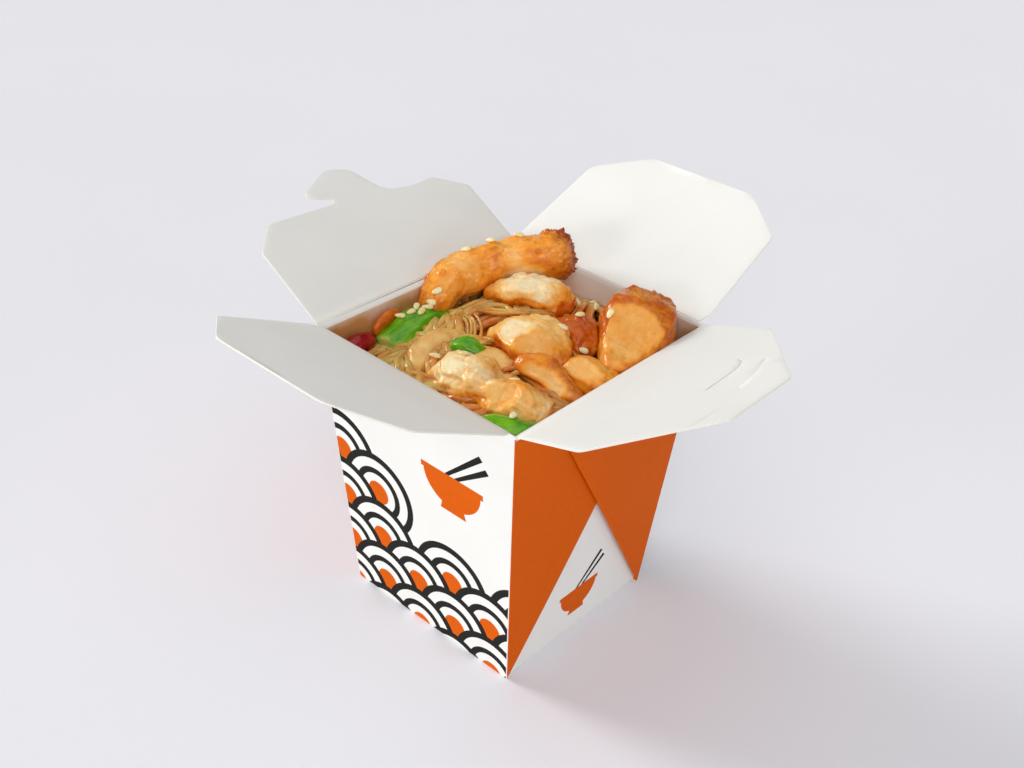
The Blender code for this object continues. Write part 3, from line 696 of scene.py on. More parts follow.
def make_flap(name, settings):
    """One lid flap: a thin board with rounded cut edges, which curls slightly away from its crease."""
    hinge, along, away, normal = flap_plane(name)
    board = settings.board / MM
    loops = flap_loops(name)
    outline = [(u, FLAP_ROOT if v < 1.2 else v) for u, v in loops[0]]
    slits = [(loop, 1) for loop in loops[1:]]
    low_u, _, high_u, high_v = extent(outline)
    spacing = 3.0
    loose = []
    for i in range(int(low_u / spacing), int(high_u / spacing) + 1):
        for j in range(1, int(high_v / spacing) + 1):
            point = (i * spacing, j * spacing)
            if is_inside(point, outline):
                loose.append(point)
    scores = SCORES.get(name, ())
    lines = []
    for line in scores:
        for offset in (-SCORE_HALF, 0, SCORE_HALF):
            lines.append([(u, v + offset) for u, v in line])
    flat, faces = fill_areas(outline, slits, lines, loose)
    pressed = {(round(u, 2), round(v, 2)) for line in scores for u, v in line}
    bm = bmesh.new()
    top = [bm.verts.new((*p, board)) for p in flat]
    bottom = [bm.verts.new((*p, 0.0)) for p in flat]
    for p, vert in zip(flat, top):
        if (round(p.x, 2), round(p.y, 2)) in pressed:
            vert.co.z -= SCORE_DEPTH
    for corners, slit in faces:
        if not slit:
            bm.faces.new([top[v] for v in corners])
            bm.faces.new([bottom[v] for v in reversed(corners)])
    spare = [vert for vert in bm.verts if not vert.link_faces]
    bmesh.ops.delete(bm, geom=spare, context="VERTS")
    numbers = {vert: k for k, vert in enumerate(top) if vert.is_valid}
    for edge in [edge for edge in bm.edges if edge.is_boundary and all(vert in numbers for vert in edge.verts)]:
        a, b = (numbers[vert] for vert in edge.verts)
        bm.faces.new((top[a], top[b], bottom[b], bottom[a])).material_index = EDGE
    bmesh.ops.recalc_face_normals(bm, faces=bm.faces)
    made = object_from(bm, name + "_board", board_finishes(settings))
    bevel = made.modifiers.new("bevel", "BEVEL")
    bevel.width = 0.11 * MM
    bevel.segments = 2
    bevel.limit_method = "ANGLE"
    bevel.angle_limit = math.radians(55)
    apply_modifiers(made)
    bow = settings.bow / MM
    turn = Matrix((along, away, normal)).transposed()
    drift = Vector((hash_of(name) * 7.0, 0, 0))
    for vert in made.data.vertices:
        u, v, n = vert.co / MM
        curl = bow * (v / high_v) ** 2 * (0.55 + 0.45 * math.cos(math.pi * u / (high_u - low_u)))
        ripple = 0.35 * (v / high_v) * noise.noise(Vector((u, v, 0)) / 26 + drift)
        n += FLAP_FACE_IN + ripple - curl
        vert.co = (hinge + turn @ Vector((u, v, n))) * MM
    made.data.shade_smooth()
    made.data.set_sharp_from_angle(angle=math.radians(40))
    dress(made, name, "board_white", name)


def hash_of(name):
    """A small number that differs from name to name and never changes."""
    return sum(ord(letter) for letter in name) % 97


def make_creases(settings):
    """The rounded creases along the rim that the flaps turn on."""
    radius = settings.crease / MM
    bm = bmesh.new()
    for name in FLAPS:
        hinge, along, _, _ = flap_plane(name)
        reach = (RIM_X if abs(along.x) > 0.5 else RIM_Y) - 0.25
        across = along.cross(UP)
        rings = []
        for place, size in ((-reach - radius * 0.8, 0.35), (-reach, 1.0), (reach, 1.0), (reach + radius * 0.8, 0.35)):
            rings.append([bm.verts.new(hinge + along * place + (across * c + UP * s) * radius * size)
                          for c, s in round_steps(16)])
        skin(bm, rings)
        bm.faces.new(rings[0])
        bm.faces.new(rings[-1])
    bmesh.ops.recalc_face_normals(bm, faces=bm.faces)
    made = object_from(bm, "rim_creases", board_finishes(settings), smooth=50)
    dress(made, "box", "board_white")


# Finishes of the food

def meat_finish(settings):
    """Fried chicken in a sticky glaze: pale fibres that darken to gold and orange, craggy brown crust, wet coat."""
    made, tree, shader, place = new_finish(
        "chicken_fried_glazed", ior=1.42, specular_ior_level=0.3, coat_weight=0.35, coat_roughness=0.1,
        subsurface_weight=0.2, subsurface_scale=1.0 * MM, subsurface_radius=(1.6, 0.8, 0.4))
    glaze, crust, grain = [add(tree, "Attribute", attribute_name=key) for key in ("glaze", "crust", "grain")]
    blots = add(tree, "TexNoise", {"Vector": place, "Scale": per(5), "Detail": 7.0, "Roughness": 0.66})
    pinks = add(tree, "TexNoise", {"Vector": place, "Scale": per(11), "Detail": 2.0})
    specks = add(tree, "TexNoise", {"Vector": place, "Scale": per(0.9), "Detail": 4.0})
    stretch = add(tree, "Mapping", {0: (grain, "Vector"), "Scale": (1.0, 4.0, 4.0)})
    streaks = add(tree, "TexNoise", {"Vector": (stretch, 0), "Scale": per(5), "Detail": 4.0, "Distortion": 0.5})
    wander = add(tree, "Math", {0: (blots, 0), 1: 0.7, 2: -0.37}, operation="MULTIPLY_ADD")
    amount = add(tree, "Math", {0: (glaze, "Fac"), 1: (wander, 0)}, operation="ADD", use_clamp=True)
    tone = add(tree, "ValToRGB", {0: (amount, 0)},
               [(0.0, settings.cream), (1.0, settings.orange), (0.3, settings.tan), (0.7, settings.gold)])
    pink = add(tree, "MapRange", {0: (pinks, 0), 1: 0.55, 2: 0.75, 3: 0.0, 4: 0.15})
    rosy = add(tree, "Mix", {0: (pink, 0), 6: (tone, 0), 7: linear("#F2CFC0")}, data_type="RGBA",
               blend_type="MULTIPLY")
    speckled = shaded(tree, (rosy, 2), (specks, 0), ((0.38, 0.8), (0.56, 1.0)), 0.22)
    fibred = shaded(tree, (speckled, 2), (streaks, 0), ((0.32, 0.76), (0.6, 1.0)), 0.35)
    rough_edge = add(tree, "Math", {0: (specks, 0), 1: 1.5, 2: -0.75}, operation="MULTIPLY_ADD")
    burnt = add(tree, "Math", {0: (crust, "Fac"), 1: (rough_edge, 0), 2: (crust, "Fac")},
                operation="MULTIPLY_ADD", use_clamp=True)
    browned = add(tree, "Mix", {0: (burnt, 0), 6: (fibred, 2), 7: settings.crust}, data_type="RGBA")
    rough = add(tree, "MapRange", {0: (amount, 0), 1: 0.1, 2: 0.8, 3: 0.46, 4: 0.30})
    height = add(tree, "Mix", {0: 0.3, 2: (specks, 0), 3: (streaks, 0)}, data_type="FLOAT")
    link(tree, shader, {"Roughness": (rough, 0)})
    cover(tree, shader, (browned, 2), (height, 0), 0.7, 0.4)
    return made


def pepper_finish(name, skin, deep, flesh):
    """Cooked pepper: taut glossy skin in deep and light streaks, and duller pale flesh at the cut sides."""
    made, tree, shader, place = new_finish(name, ior=1.4, specular_ior_level=0.3, coat_weight=0.4,
                                           coat_roughness=0.08, subsurface_weight=0.12, subsurface_scale=1.0 * MM)
    cut, grain = [add(tree, "Attribute", attribute_name=key) for key in ("cut", "grain")]
    stretch = add(tree, "Mapping", {0: (grain, "Vector"), "Scale": (1.0, 3.0, 3.0)})
    streaks = add(tree, "TexNoise", {"Vector": (stretch, 0), "Scale": per(6), "Detail": 3.0})
    specks = add(tree, "TexNoise", {"Vector": place, "Scale": per(0.9), "Detail": 3.0})
    tone = add(tree, "ValToRGB", {0: (streaks, 0)}, [(0.3, deep), (0.65, skin)])
    wander = add(tree, "Math", {0: (specks, 0), 1: 0.5, 2: (cut, "Fac")}, operation="MULTIPLY_ADD", use_clamp=True)
    bare = add(tree, "MapRange", {0: (wander, 0), 1: 0.45, 2: 0.95}, interpolation_type="SMOOTHSTEP")
    mixed = add(tree, "Mix", {0: (bare, 0), 6: (tone, 0), 7: flesh}, data_type="RGBA")
    rough = add(tree, "MapRange", {0: (bare, 0), 3: 0.18, 4: 0.4})
    link(tree, shader, {"Roughness": (rough, 0)})
    cover(tree, shader, (mixed, 2), (specks, 0), 0.4, 0.3)
    return made


def soft_finish(name, pale, deep, size, clear=0.0, roughness=0.24, coat=0.25, sauce_and_shade_lean=0.0):
    """Soft cooked vegetable or noodle, wet with oil: light passes into it, and its colour drifts with the sauce.

    The colour gets deeper towards +X, partly for sauce gathered there and partly as painted shade over the noodles on
    that side.
    """
    made, tree, shader, place = new_finish(
        name, roughness=roughness, ior=1.38, specular_ior_level=0.35, coat_weight=coat, coat_roughness=0.06,
        subsurface_weight=0.45, subsurface_scale=1.5 * MM, subsurface_radius=(1.6, 0.9, 0.4),
        transmission_weight=clear)
    drift = add(tree, "TexNoise", {"Vector": place, "Scale": per(size), "Detail": 4.0})
    split = add(tree, "SeparateXYZ", {0: place})
    # Deeper colour towards +X: partly gathered sauce, partly painted shade.
    sauce_and_shade_gradient = add(tree, "MapRange", {0: (split, "X"), 1: -30.0 * MM, 2: 30.0 * MM, 3: sauce_and_shade_lean, 4: -sauce_and_shade_lean})
    amount = add(tree, "Math", {0: (drift, 0), 1: (sauce_and_shade_gradient, 0)}, operation="ADD")
    tone = add(tree, "ValToRGB", {0: (amount, 0)}, [(0.3, deep), (0.68, pale)])
    fine = add(tree, "TexNoise", {"Vector": place, "Scale": per(0.8), "Detail": 2.0})
    cover(tree, shader, (tone, 0), (fine, 0), 0.2, 0.15)
    return made


# The pieces of chicken. Skin is how thick the glaze lies on the fried outside, torn the height of its
# torn facets in millimetres. Each cut is a place on a knife's plane, the plane's direction, its radius
# and the glaze on it. Each spot is a place, a radius and what it adds there. Run is how much of the glaze
# has run down to the sides.
MEAT = {
    "chicken_back": dict(
        skin=0.64, run=0.0, torn=0.4,
        cuts=((-17.3, 24.2, 100.0, 0.64, -0.72, -0.25, 9.0, 0.2),),
        glaze_spots=((-31.0, 9.0, 104.0, 4.5, -0.2), (-34.0, -4.0, 96.0, 6.0, 0.1), (-26.0, 17.0, 104.0, 5.0, 0.2),
                     (-15.0, 28.0, 106.0, 6.0, 0.2), (-21.0, 22.0, 107.0, 4.0, -0.2)),
        crust_spots=((-9.0, 37.0, 105.0, 6.0, 0.85), (-13.0, 39.5, 111.0, 5.5, 0.9), (-20.0, 37.0, 111.0, 4.5, 0.5))),
    "chicken_right": dict(
        skin=0.88, run=0.0, torn=0.4,
        cuts=((27.0, 22.0, 104.9, 0.35, -0.38, 0.86, 17.0, 0.6),),
        glaze_spots=((31.0, 9.0, 99.0, 7.0, -0.35), (18.0, 19.0, 99.0, 5.0, 0.25), (22.0, 34.0, 107.0, 4.0, -0.35)),
        crust_spots=((18.0, 34.0, 107.0, 5.0, 0.35), (25.0, 38.0, 107.0, 6.0, 0.4), (14.0, 25.0, 103.0, 3.0, 0.2))),
    "chicken_top": dict(
        skin=0.0, run=0.6, torn=1.0,
        cuts=((-10.0, 17.5, 104.2, 0.15, -0.25, 0.95, 6.0, 0.0),),
        glaze_spots=((-20.0, 10.0, 99.0, 5.5, 0.5), (1.5, 23.0, 100.0, 5.5, 0.6), (-9.0, 10.5, 96.0, 4.5, 0.5)),
        crust_spots=()),
    "chicken_centre": dict(
        skin=0.3, run=0.45, torn=0.45,
        cuts=((1.0, -3.5, 102.0, -0.12, -0.35, 0.92, 10.0, 0.05), (12.5, -4.5, 102.2, 0.38, -0.45, 0.80, 9.5, 0.5)),
        glaze_spots=((20.0, 0.0, 97.0, 5.5, 0.5), (2.0, -11.0, 95.0, 5.5, 0.5), (11.0, -12.0, 95.0, 5.0, 0.45)),
        crust_spots=()),
    "chicken_wedge": dict(
        skin=0.8, run=0.1, torn=0.4,
        cuts=((24.0, -13.2, 96.2, 0.15, -0.85, 0.5, 11.0, 0.3),),
        glaze_spots=(), crust_spots=((33.0, -8.0, 96.0, 4.0, 0.3),)),
    "chicken_front": dict(
        skin=0.08, run=0.3, torn=1.05,
        cuts=((1.5, -28.0, 99.8, -0.1, -0.42, 0.9, 6.0, 0.04), (21.0, -28.0, 98.6, 0.2, -0.6, 0.77, 6.0, 0.34)),
        glaze_spots=((23.0, -19.0, 98.0, 6.5, 0.6), (14.0, -32.0, 92.0, 6.0, 0.4), (10.0, -20.0, 99.0, 4.0, 0.3),
                     (24.0, -27.0, 97.0, 6.0, 0.25)),
        crust_spots=((26.0, -18.0, 98.0, 4.0, 0.35), (15.0, -21.0, 99.0, 4.0, 0.3), (3.0, -18.0, 99.0, 4.0, 0.22))),
    "chicken_lobe": dict(
        skin=0.6, run=0.2, torn=0.4,
        cuts=((29.0, -2.0, 98.8, 0.1, -0.4, 0.91, 7.0, 0.42),), glaze_spots=(), crust_spots=()),
    # This piece's full glaze, the darkest orange, is partly painted shade: the piece lies in shade beside the others.
    "chicken_small": dict(
        skin=1.0, run=0.1, torn=0.5, cuts=(), glaze_spots=(), crust_spots=((12.0, 14.0, 100.0, 6.0, 0.3),)),
}
VEGETABLES = {
    "pepper_green_large": ("pepper_green", ((-25.5, -20.5, 87.0, 4.5, 0.75), (-31.0, -25.5, 90.0, 3.0, 0.8))),
    "pepper_green_small": ("pepper_green", ()),
    "pepper_green_corner": ("pepper_green", ((24.0, -35.5, 97.0, 2.2, 0.7),)),
    "pepper_red": ("pepper_red", ()),
    "carrot": ("carrot", ()),
    "onion_left": ("onion", ()),
    "onion_centre": ("onion", ()),
}


def fine_copy(node, cell, rounds):
    """A fine, smooth copy of a node's solid."""
    bm = bmesh.new()
    bm.from_mesh(frame["nodes"][node].data)
    bmesh.ops.remove_doubles(bm, verts=bm.verts, dist=0.01 * MM)
    bmesh.ops.scale(bm, vec=(1 / MM, 1 / MM, 1 / MM), verts=bm.verts)
    made = object_from(bm, node + "_piece", ())
    remesh = made.modifiers.new("remesh", "REMESH")
    remesh.mode = "VOXEL"
    remesh.voxel_size = cell
    remesh.use_smooth_shade = True
    smooth = made.modifiers.new("smooth", "SMOOTH")
    smooth.factor = 0.5
    smooth.iterations = rounds
    apply_modifiers(made)
    return made


def grain_of(mesh):
    """Points of a mesh, and the same along, across and up its longest direction, in metres."""
    places = values_of(mesh.vertices, "co")
    middle = places.mean(0)
    spread = (places - middle).T @ (places - middle)
    axes = np.linalg.eigh(spread)[1][:, ::-1].T
    axes = [axis * math.copysign(1.0, axis[np.abs(axis).argmax()]) for axis in axes]
    return places, (places - middle) @ np.array(axes).T


def spot_values(places, base, spots):
    """A value from 0 to 1 at each point: a base value and what soft round spots add."""
    values = np.full(len(places), base)
    for x, y, z, radius, change in spots:
        away = np.linalg.norm(places / MM - (x, y, z), axis=1) / radius
        values += change * np.exp(-0.7 * away ** 3)
    return np.clip(values, 0.0, 1.0)


def press_cuts(mesh, cuts):
    """Flattens a piece where a knife went through it, and gives how far each point is on a cut, and its glaze."""
    on_cut = np.zeros(len(mesh.vertices))
    glaze = np.zeros(len(mesh.vertices))
    for x, y, z, nx, ny, nz, radius, value in cuts:
        middle = Vector((x, y, z))
        normal = Vector((nx, ny, nz)).normalized()
        for k, vert in enumerate(mesh.vertices):
            place = vert.co / MM
            over = (place - middle).dot(normal)
            near = min(1.0, max(0.0, 2.2 * (1 - (place - middle - normal * over).length / radius)))
            if over > -0.25 and near > 0:
                vert.co -= normal * max(over, 0.0) * near * MM
                held = near * min(1.0, (over + 0.25) / 0.6)
                if held > on_cut[k]:
                    on_cut[k] = held
                    glaze[k] = value
    mesh.update()
    return on_cut, glaze


def unevenness(mesh, rounds=10):
    """How far each point stands out of its surroundings, in millimetres."""
    places = values_of(mesh.vertices, "co") / MM
    pairs = values_of(mesh.edges, "vertices", 2, np.int64)
    count = np.bincount(pairs.ravel(), minlength=len(places))[:, None]
    smooth = places.copy()
    for _ in range(rounds):
        total = np.zeros_like(smooth)
        np.add.at(total, pairs[:, 0], smooth[pairs[:, 1]])
        np.add.at(total, pairs[:, 1], smooth[pairs[:, 0]])
        smooth = total / count
    return ((places - smooth) * values_of(mesh.vertices, "normal")).sum(1)


def torn_relief(place, size, drift):
    """Relief of torn meat at a point: tilted facets with creases between them, from about -1 to 1."""
    spot = place / size + drift
    spot += noise.noise_vector(spot * 1.1) * 0.35
    distances, cores = noise.voronoi(spot)
    tilt = noise.noise_vector(cores[0] * 7.3).normalized()
    crease = min(1.0, (distances[1] - distances[0]) / 0.3)
    return 0.9 * (spot - cores[0]).dot(tilt) + 0.5 * crease - 0.35


def store(mesh, name, values):
    """Keeps a number or a vector for each point of a mesh."""
    kind = "FLOAT_VECTOR" if values.ndim == 2 else "FLOAT"
    made = mesh.attributes.new(name, kind, "POINT")
    made.data.foreach_set("vector" if values.ndim == 2 else "value", values.astype(np.float32).ravel())


def raise_points(mesh, relief):
    """Moves each point along its normal by what a function gives for it, in millimetres."""
    moved = [vert.co + vert.normal * relief(k, vert.co / MM) * MM for k, vert in enumerate(mesh.vertices)]
    mesh.vertices.foreach_set("co", [value for place in moved for value in place])
    mesh.update()


# The meat's crags stay clear of the back flap when it is raised
RAISED_FLAP_Y = 42.3
# Noise vectors start from the clock unless a seed is set
NOISE_SEED = 4


def make_meat(node, settings, made_of):
    """One piece of chicken with knife cuts, torn facets, fibres that run along it and a craggy crust."""
    made = fine_copy(node, settings.cell, 9)
    look = MEAT[node]
    on_cut, cut_glaze = press_cuts(made.data, look["cuts"])
    places, grain = grain_of(made.data)
    glaze = spot_values(places, look["skin"], look["glaze_spots"])
    glaze = glaze * (1 - on_cut) + (cut_glaze + 0.3 * (glaze - look["skin"])) * on_cut
    slope = np.array([1 - max(vert.normal.z, 0.0) for vert in made.data.vertices])
    glaze += look["run"] * slope ** 2
    crust = spot_values(places, 0.0, look["crust_spots"]) * (1 - on_cut)
    drift = Vector((hash_of(node), 0, 0))
    bulge = settings.bulge / MM
    fibre = settings.fibre / MM
    crag = settings.crag / MM

    def relief(k, place):
        along, across, over = grain[k] / MM
        lines = Vector((along / 9, across / 1.3, over / 1.3)) + drift
        free = 1 - 0.7 * on_cut[k]
        broad = noise.noise(place / 5.0 + drift)
        height = 0.3 + free * (bulge * broad + look["torn"] * torn_relief(place, 8.5, drift))
        height += 0.3 * look["torn"] * free * torn_relief(place, 3.0, drift)
        height += (0.5 + 0.5 * free) * (fibre * noise.noise(lines) + 0.14 * noise.noise(place / 1.4))
        rough = 2.4 * noise.turbulence(place / 2.4 + drift, 3, True) - 0.9 + 0.4 * torn_relief(place, 3.6, drift)
        return height + crust[k] * crag * (0.45 + (0.8 + broad) * rough)

    raise_points(made.data, relief)
    for vert in made.data.vertices:
        vert.co.y = min(vert.co.y, RAISED_FLAP_Y * MM)
    ridge = np.clip(np.abs(unevenness(made.data)) - 0.05, 0, 0.3) / 0.3
    store(made.data, "glaze", np.clip(glaze + 0.2 * ridge, 0, 1))
    store(made.data, "crust", crust)
    store(made.data, "grain", grain)
    made.data.materials.append(made_of)
    dress(made, "box", "chicken_glazed", node)


def make_vegetable(node, settings, finishes):
    """One piece of pepper, carrot or onion."""
    slot, cuts = VEGETABLES[node]
    made = fine_copy(node, 0.42 * MM, 5)
    places, grain = grain_of(made.data)
    drift = Vector((hash_of(node), 0, 0))

    def relief(k, place):
        along, across, over = grain[k] / MM
        ridge = noise.noise(Vector((along / 9, across / 2.4, over / 2.4)) + drift)
        return 0.3 + (0.35 if slot == "onion" else 0.2) * ridge + 0.12 * noise.noise(place / 1.5)

    raise_points(made.data, relief)
    store(made.data, "cut", spot_values(places, 0.0, cuts))
    store(made.data, "grain", grain)
    made.data.materials.append(finishes[slot])
    dress(made, "box", slot, node)


# The noodles

HEAP_CELL = 0.7
WALL_GAP = 0.35


def inner_reach(z):
    """Half sizes of the inside at a height."""
    x, y = outer_half(z)
    return x - PANEL_DEPTH - 0.5, y - 0.5


class Heap:
    """The surface of the noodles as a map of heights, which each new noodle lies on and adds to."""

    def __init__(self):
        self.half_x, self.half_y = inner_reach(90.0)
        self.count_x = int(2 * self.half_x / HEAP_CELL) + 1
        self.count_y = int(2 * self.half_y / HEAP_CELL) + 1
        tree = tree_of(frame["nodes"]["noodles"])
        top = np.zeros((self.count_x, self.count_y))
        for i in range(self.count_x):
            for j in range(self.count_y):
                x, y = self.place(i, j)
                hit = drop(tree, x, y)[0]
                top[i, j] = hit.z / MM if hit else 86.0
        for _ in range(26):
            padded = np.pad(top, 1, mode="edge")
            top = (padded[:-2, 1:-1] + padded[2:, 1:-1] + padded[1:-1, :-2] + padded[1:-1, 2:] + 2 * top) / 6
        self.bed = top - 1.0
        self.top = self.bed.copy()

    def place(self, i, j):
        """The plan point of a cell."""
        return i * HEAP_CELL - self.half_x, j * HEAP_CELL - self.half_y

    def around(self, x, y, reach):
        """The cells around a plan point, and how far each one is from it."""
        i = (x + self.half_x) / HEAP_CELL
        j = (y + self.half_y) / HEAP_CELL
        n = math.ceil(reach / HEAP_CELL)
        low_i = max(0, round(i) - n)
        high_i = min(self.count_x, round(i) + n + 1)
        low_j = max(0, round(j) - n)
        high_j = min(self.count_y, round(j) + n + 1)
        away_i = (np.arange(low_i, high_i) - i)[:, None] * HEAP_CELL
        away_j = (np.arange(low_j, high_j) - j)[None, :] * HEAP_CELL
        return (slice(low_i, high_i), slice(low_j, high_j)), np.sqrt(away_i ** 2 + away_j ** 2)

    def height(self, x, y, reach):
        """The highest thing under a noodle of this radius."""
        cells, away = self.around(x, y, reach)
        found = self.top[cells][away <= reach]
        return float(found.max()) if found.size else float(self.top[cells].max())

    def bed_height(self, x, y):
        """The height of the bare heap at a plan point."""
        cells, _ = self.around(x, y, HEAP_CELL)
        return float(self.bed[cells].mean())

    def lay(self, points, radius):
        """Adds a noodle along its points."""
        for x, y, z in points:
            cells, away = self.around(x, y, radius)
            dome = z + np.sqrt(np.clip(radius ** 2 - away ** 2, 0, None))
            self.top[cells] = np.where(away <= radius, np.maximum(self.top[cells], dome), self.top[cells])


def tube(bm, points, radius):
    """A round noodle along its points, with rounded ends."""
    rings = []
    side = None
    for k, point in enumerate(points):
        way = (points[min(k + 1, len(points) - 1)] - points[max(k - 1, 0)]).normalized()
        side = (way.cross(UP) if side is None else side - way * side.dot(way)).normalized()
        up = side.cross(way)
        size = radius * (0.55 if k in (0, len(points) - 1) else 1.0)
        rings.append([bm.verts.new(point + (side * c + up * s) * size) for c, s in round_steps(7)])
    skin(bm, rings)
    bm.faces.new(list(reversed(rings[0])))
    bm.faces.new(rings[-1])


# The route of a bundle: the distance between its points, how far it stays from the walls, after how many
# points its bend changes and how sharply it turns back at a wall, in radians a point
ROUTE_STEP = 1.35
ROUTE_MARGIN = 1.4
BEND_STEPS = 9
SHARPEST_TURN = 0.55
STRAND_MARGIN = 1.2
FULL_PILE_REACH = 9.0
COVERED = 2.2
RAY_START = 140


def noodle_route(draw, heap, count):
    """A winding plan route that turns back at the walls."""
    reach_x = heap.half_x - ROUTE_MARGIN
    reach_y = heap.half_y - ROUTE_MARGIN
    x = draw.uniform(-reach_x, reach_x)
    y = draw.uniform(-reach_y, reach_y)
    heading = draw.uniform(0, 2 * math.pi)
    bend = draw.uniform(-0.16, 0.16)
    route = []
    for k in range(count):
        route.append((x, y, heading))
        if k % BEND_STEPS == 0:
            bend = 0.5 * bend + draw.uniform(-0.13, 0.13)
        heading += bend
        ahead_x = x + ROUTE_STEP * math.cos(heading)
        ahead_y = y + ROUTE_STEP * math.sin(heading)
        if abs(ahead_x) > reach_x or abs(ahead_y) > reach_y:
            inward = math.atan2(-y, -x)
            turn = (inward - heading + math.pi) % (2 * math.pi) - math.pi
            heading += math.copysign(min(abs(turn), SHARPEST_TURN), turn)
            ahead_x = max(-reach_x, min(reach_x, x + ROUTE_STEP * math.cos(heading)))
            ahead_y = max(-reach_y, min(reach_y, y + ROUTE_STEP * math.sin(heading)))
        x = ahead_x
        y = ahead_y
    return route


def pile_limit(settings, x, y, heap):
    """How high loose noodles may lie at a plan point: less near the walls."""
    near_wall = min(heap.half_x - abs(x), heap.half_y - abs(y))
    share_in = min(1.0, max(0.0, near_wall / FULL_PILE_REACH))
    return heap.bed_height(x, y) + settings.pile / MM * (0.35 + 0.65 * share_in)


def drop(tree, x, y):
    """Where a line straight down at a plan point meets a search tree, in metres, and the normal there."""
    return tree.ray_cast(Vector((x, y, RAY_START)) * MM, -UP)[:2]


def lay_noodles(settings, heap, food):
    """Lays bundles of noodles over each other; where a piece of food lies, they pass beneath its top."""
    draw = random.Random(settings.seed)
    reaches = [half - STRAND_MARGIN for half in (heap.half_x, heap.half_y)]
    bm = bmesh.new()
    for _ in range(settings.bundles):
        route = noodle_route(draw, heap, draw.randint(36, 66))
        strands = draw.randint(2, 4)
        radius = settings.radius / MM * draw.choice((0.6, 0.8, 1.1, 1.4))
        for n in range(strands):
            offset = (n - (strands - 1) / 2) * radius * draw.uniform(2.0, 2.5)
            size = radius * draw.uniform(0.86, 1.08)
            wander = draw.uniform(0, 50)
            plan = []
            for k, (x, y, heading) in enumerate(route[draw.randint(0, 4):len(route) - draw.randint(0, 5)]):
                slip = offset + 1.1 * noise.noise(Vector((k * 0.09, wander, 0)))
                place = (x - math.sin(heading) * slip, y + math.cos(heading) * slip)
                plan.append([max(-reach, min(reach, at)) for at, reach in zip(place, reaches)])
            if len(plan) < 12:
                continue
            rest = [heap.height(px, py, size * 0.8) + size * 0.8 for px, py in plan]
            caps = []
            for px, py in plan:
                cap = pile_limit(settings, px, py, heap)
                hit = drop(food, px, py)[0]
                if hit:
                    cap = min(cap, hit.z / MM - COVERED - size)
                caps.append(cap)
            rest = [min(max(rest[max(0, k - 2):k + 3]), cap) for k, cap in enumerate(caps)]
            eased = rest
            for _ in range(3):
                spans = [eased[max(0, k - 1):k + 2] for k in range(len(eased))]
                eased = [sum(span) / len(span) for span in spans]
            for end in (0, -1):
                eased[end] -= size
            points = [Vector((px, py, z)) for (px, py), z in zip(plan, eased)]
            tube(bm, points, size)
            heap.lay(points, size)
    bmesh.ops.recalc_face_normals(bm, faces=bm.faces)
    return bm


def noodle_bed(heap):
    """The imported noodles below, a closed block with the heap's top."""
    bm = bmesh.new()

    def point(x, y, z):
        reach_x, reach_y = inner_reach(z)
        return bm.verts.new((x / heap.half_x * (reach_x - WALL_GAP), y / heap.half_y * (reach_y - WALL_GAP), z))

    grid = [[point(*heap.place(i, j), heap.bed[i, j]) for j in range(0, heap.count_y, 2)]
            for i in range(0, heap.count_x, 2)]
    for near, far in zip(grid, grid[1:]):
        for j in range(len(near) - 1):
            bm.faces.new((near[j], far[j], far[j + 1], near[j + 1]))
    rim = grid[0][:-1] + [row[-1] for row in grid[:-1]] + grid[-1][:0:-1] + [row[0] for row in grid[:0:-1]]
    foot = [point(vert.co.x, vert.co.y, BASE_BOARD + WALL_GAP) for vert in rim]
    skin(bm, [rim, foot])
    bm.faces.new(foot)
    bmesh.ops.recalc_face_normals(bm, faces=bm.faces)
    return bm


# Sesame seeds: the piece that each lies on, its place in plan and its turn in degrees
SEEDS = (
    ("chicken_back", -30.6, -4.6, 20), ("chicken_back", -30.4, -2.4, 70), ("chicken_back", -33.0, 13.0, 40),
    ("chicken_back", -29.5, 20.5, 10), ("chicken_back", -24.0, 27.5, 60),
    ("pepper_green_large", -32.8, -16.0, 30), ("pepper_green_large", -31.6, -12.5, 80),
    ("pepper_green_large", -32.6, -9.2, 130), ("pepper_green_large", -30.2, -6.8, 50),
    ("pepper_green_large", -29.6, -10.0, 110), ("chicken_right", 21.5, 18.5, 100),
    ("chicken_front", 2.0, -24.0, 60), ("chicken_front", 20.0, -22.0, 20), ("chicken_centre", 14.5, 5.0, 40),
    ("pepper_green_corner", 31.0, -34.6, 110), ("chicken_small", 12.0, 16.0, 75), ("chicken_small", 19.5, 9.4, 20),
    ("noodle_strands", 0.0, 30.5, 20), ("noodle_strands", 3.0, 33.5, 70), ("noodle_strands", 6.5, 31.0, 120),
    ("noodle_strands", -9.0, -24.5, 40),
)


def sesame_seed(bm, settings, place, turn, normal, draw):
    """One seed: a flattened drop, half sunk in the glaze under it."""
    rings = 9
    sides = 12
    size = draw.uniform(0.92, 1.05)
    half = settings.seed_length / MM / 2 * size
    wide = settings.seed_width / MM / 2 * size
    thick = settings.seed_thickness / MM / 2 * size
    x = Vector((math.cos(math.radians(turn)), math.sin(math.radians(turn)), 0))
    y = normal.cross(x).normalized()
    x = y.cross(normal)
    lifted = place + normal * thick * 0.5
    loops = []
    for k in range(1, rings):
        angle = math.pi * k / rings
        along = -math.cos(angle)
        swell = math.sin(angle) ** 0.85 * (1 + 0.28 * along)
        loops.append([bm.verts.new(lifted + x * along * half + y * c * wide * swell + normal * s * thick * swell)
                      for c, s in round_steps(sides)])
    ends = [bm.verts.new(lifted + x * half * side) for side in (-1, 1)]
    skin(bm, loops)
    for m in range(sides):
        bm.faces.new((loops[0][(m + 1) % sides], loops[0][m], ends[0]))
        bm.faces.new((loops[-1][m], loops[-1][(m + 1) % sides], ends[1]))


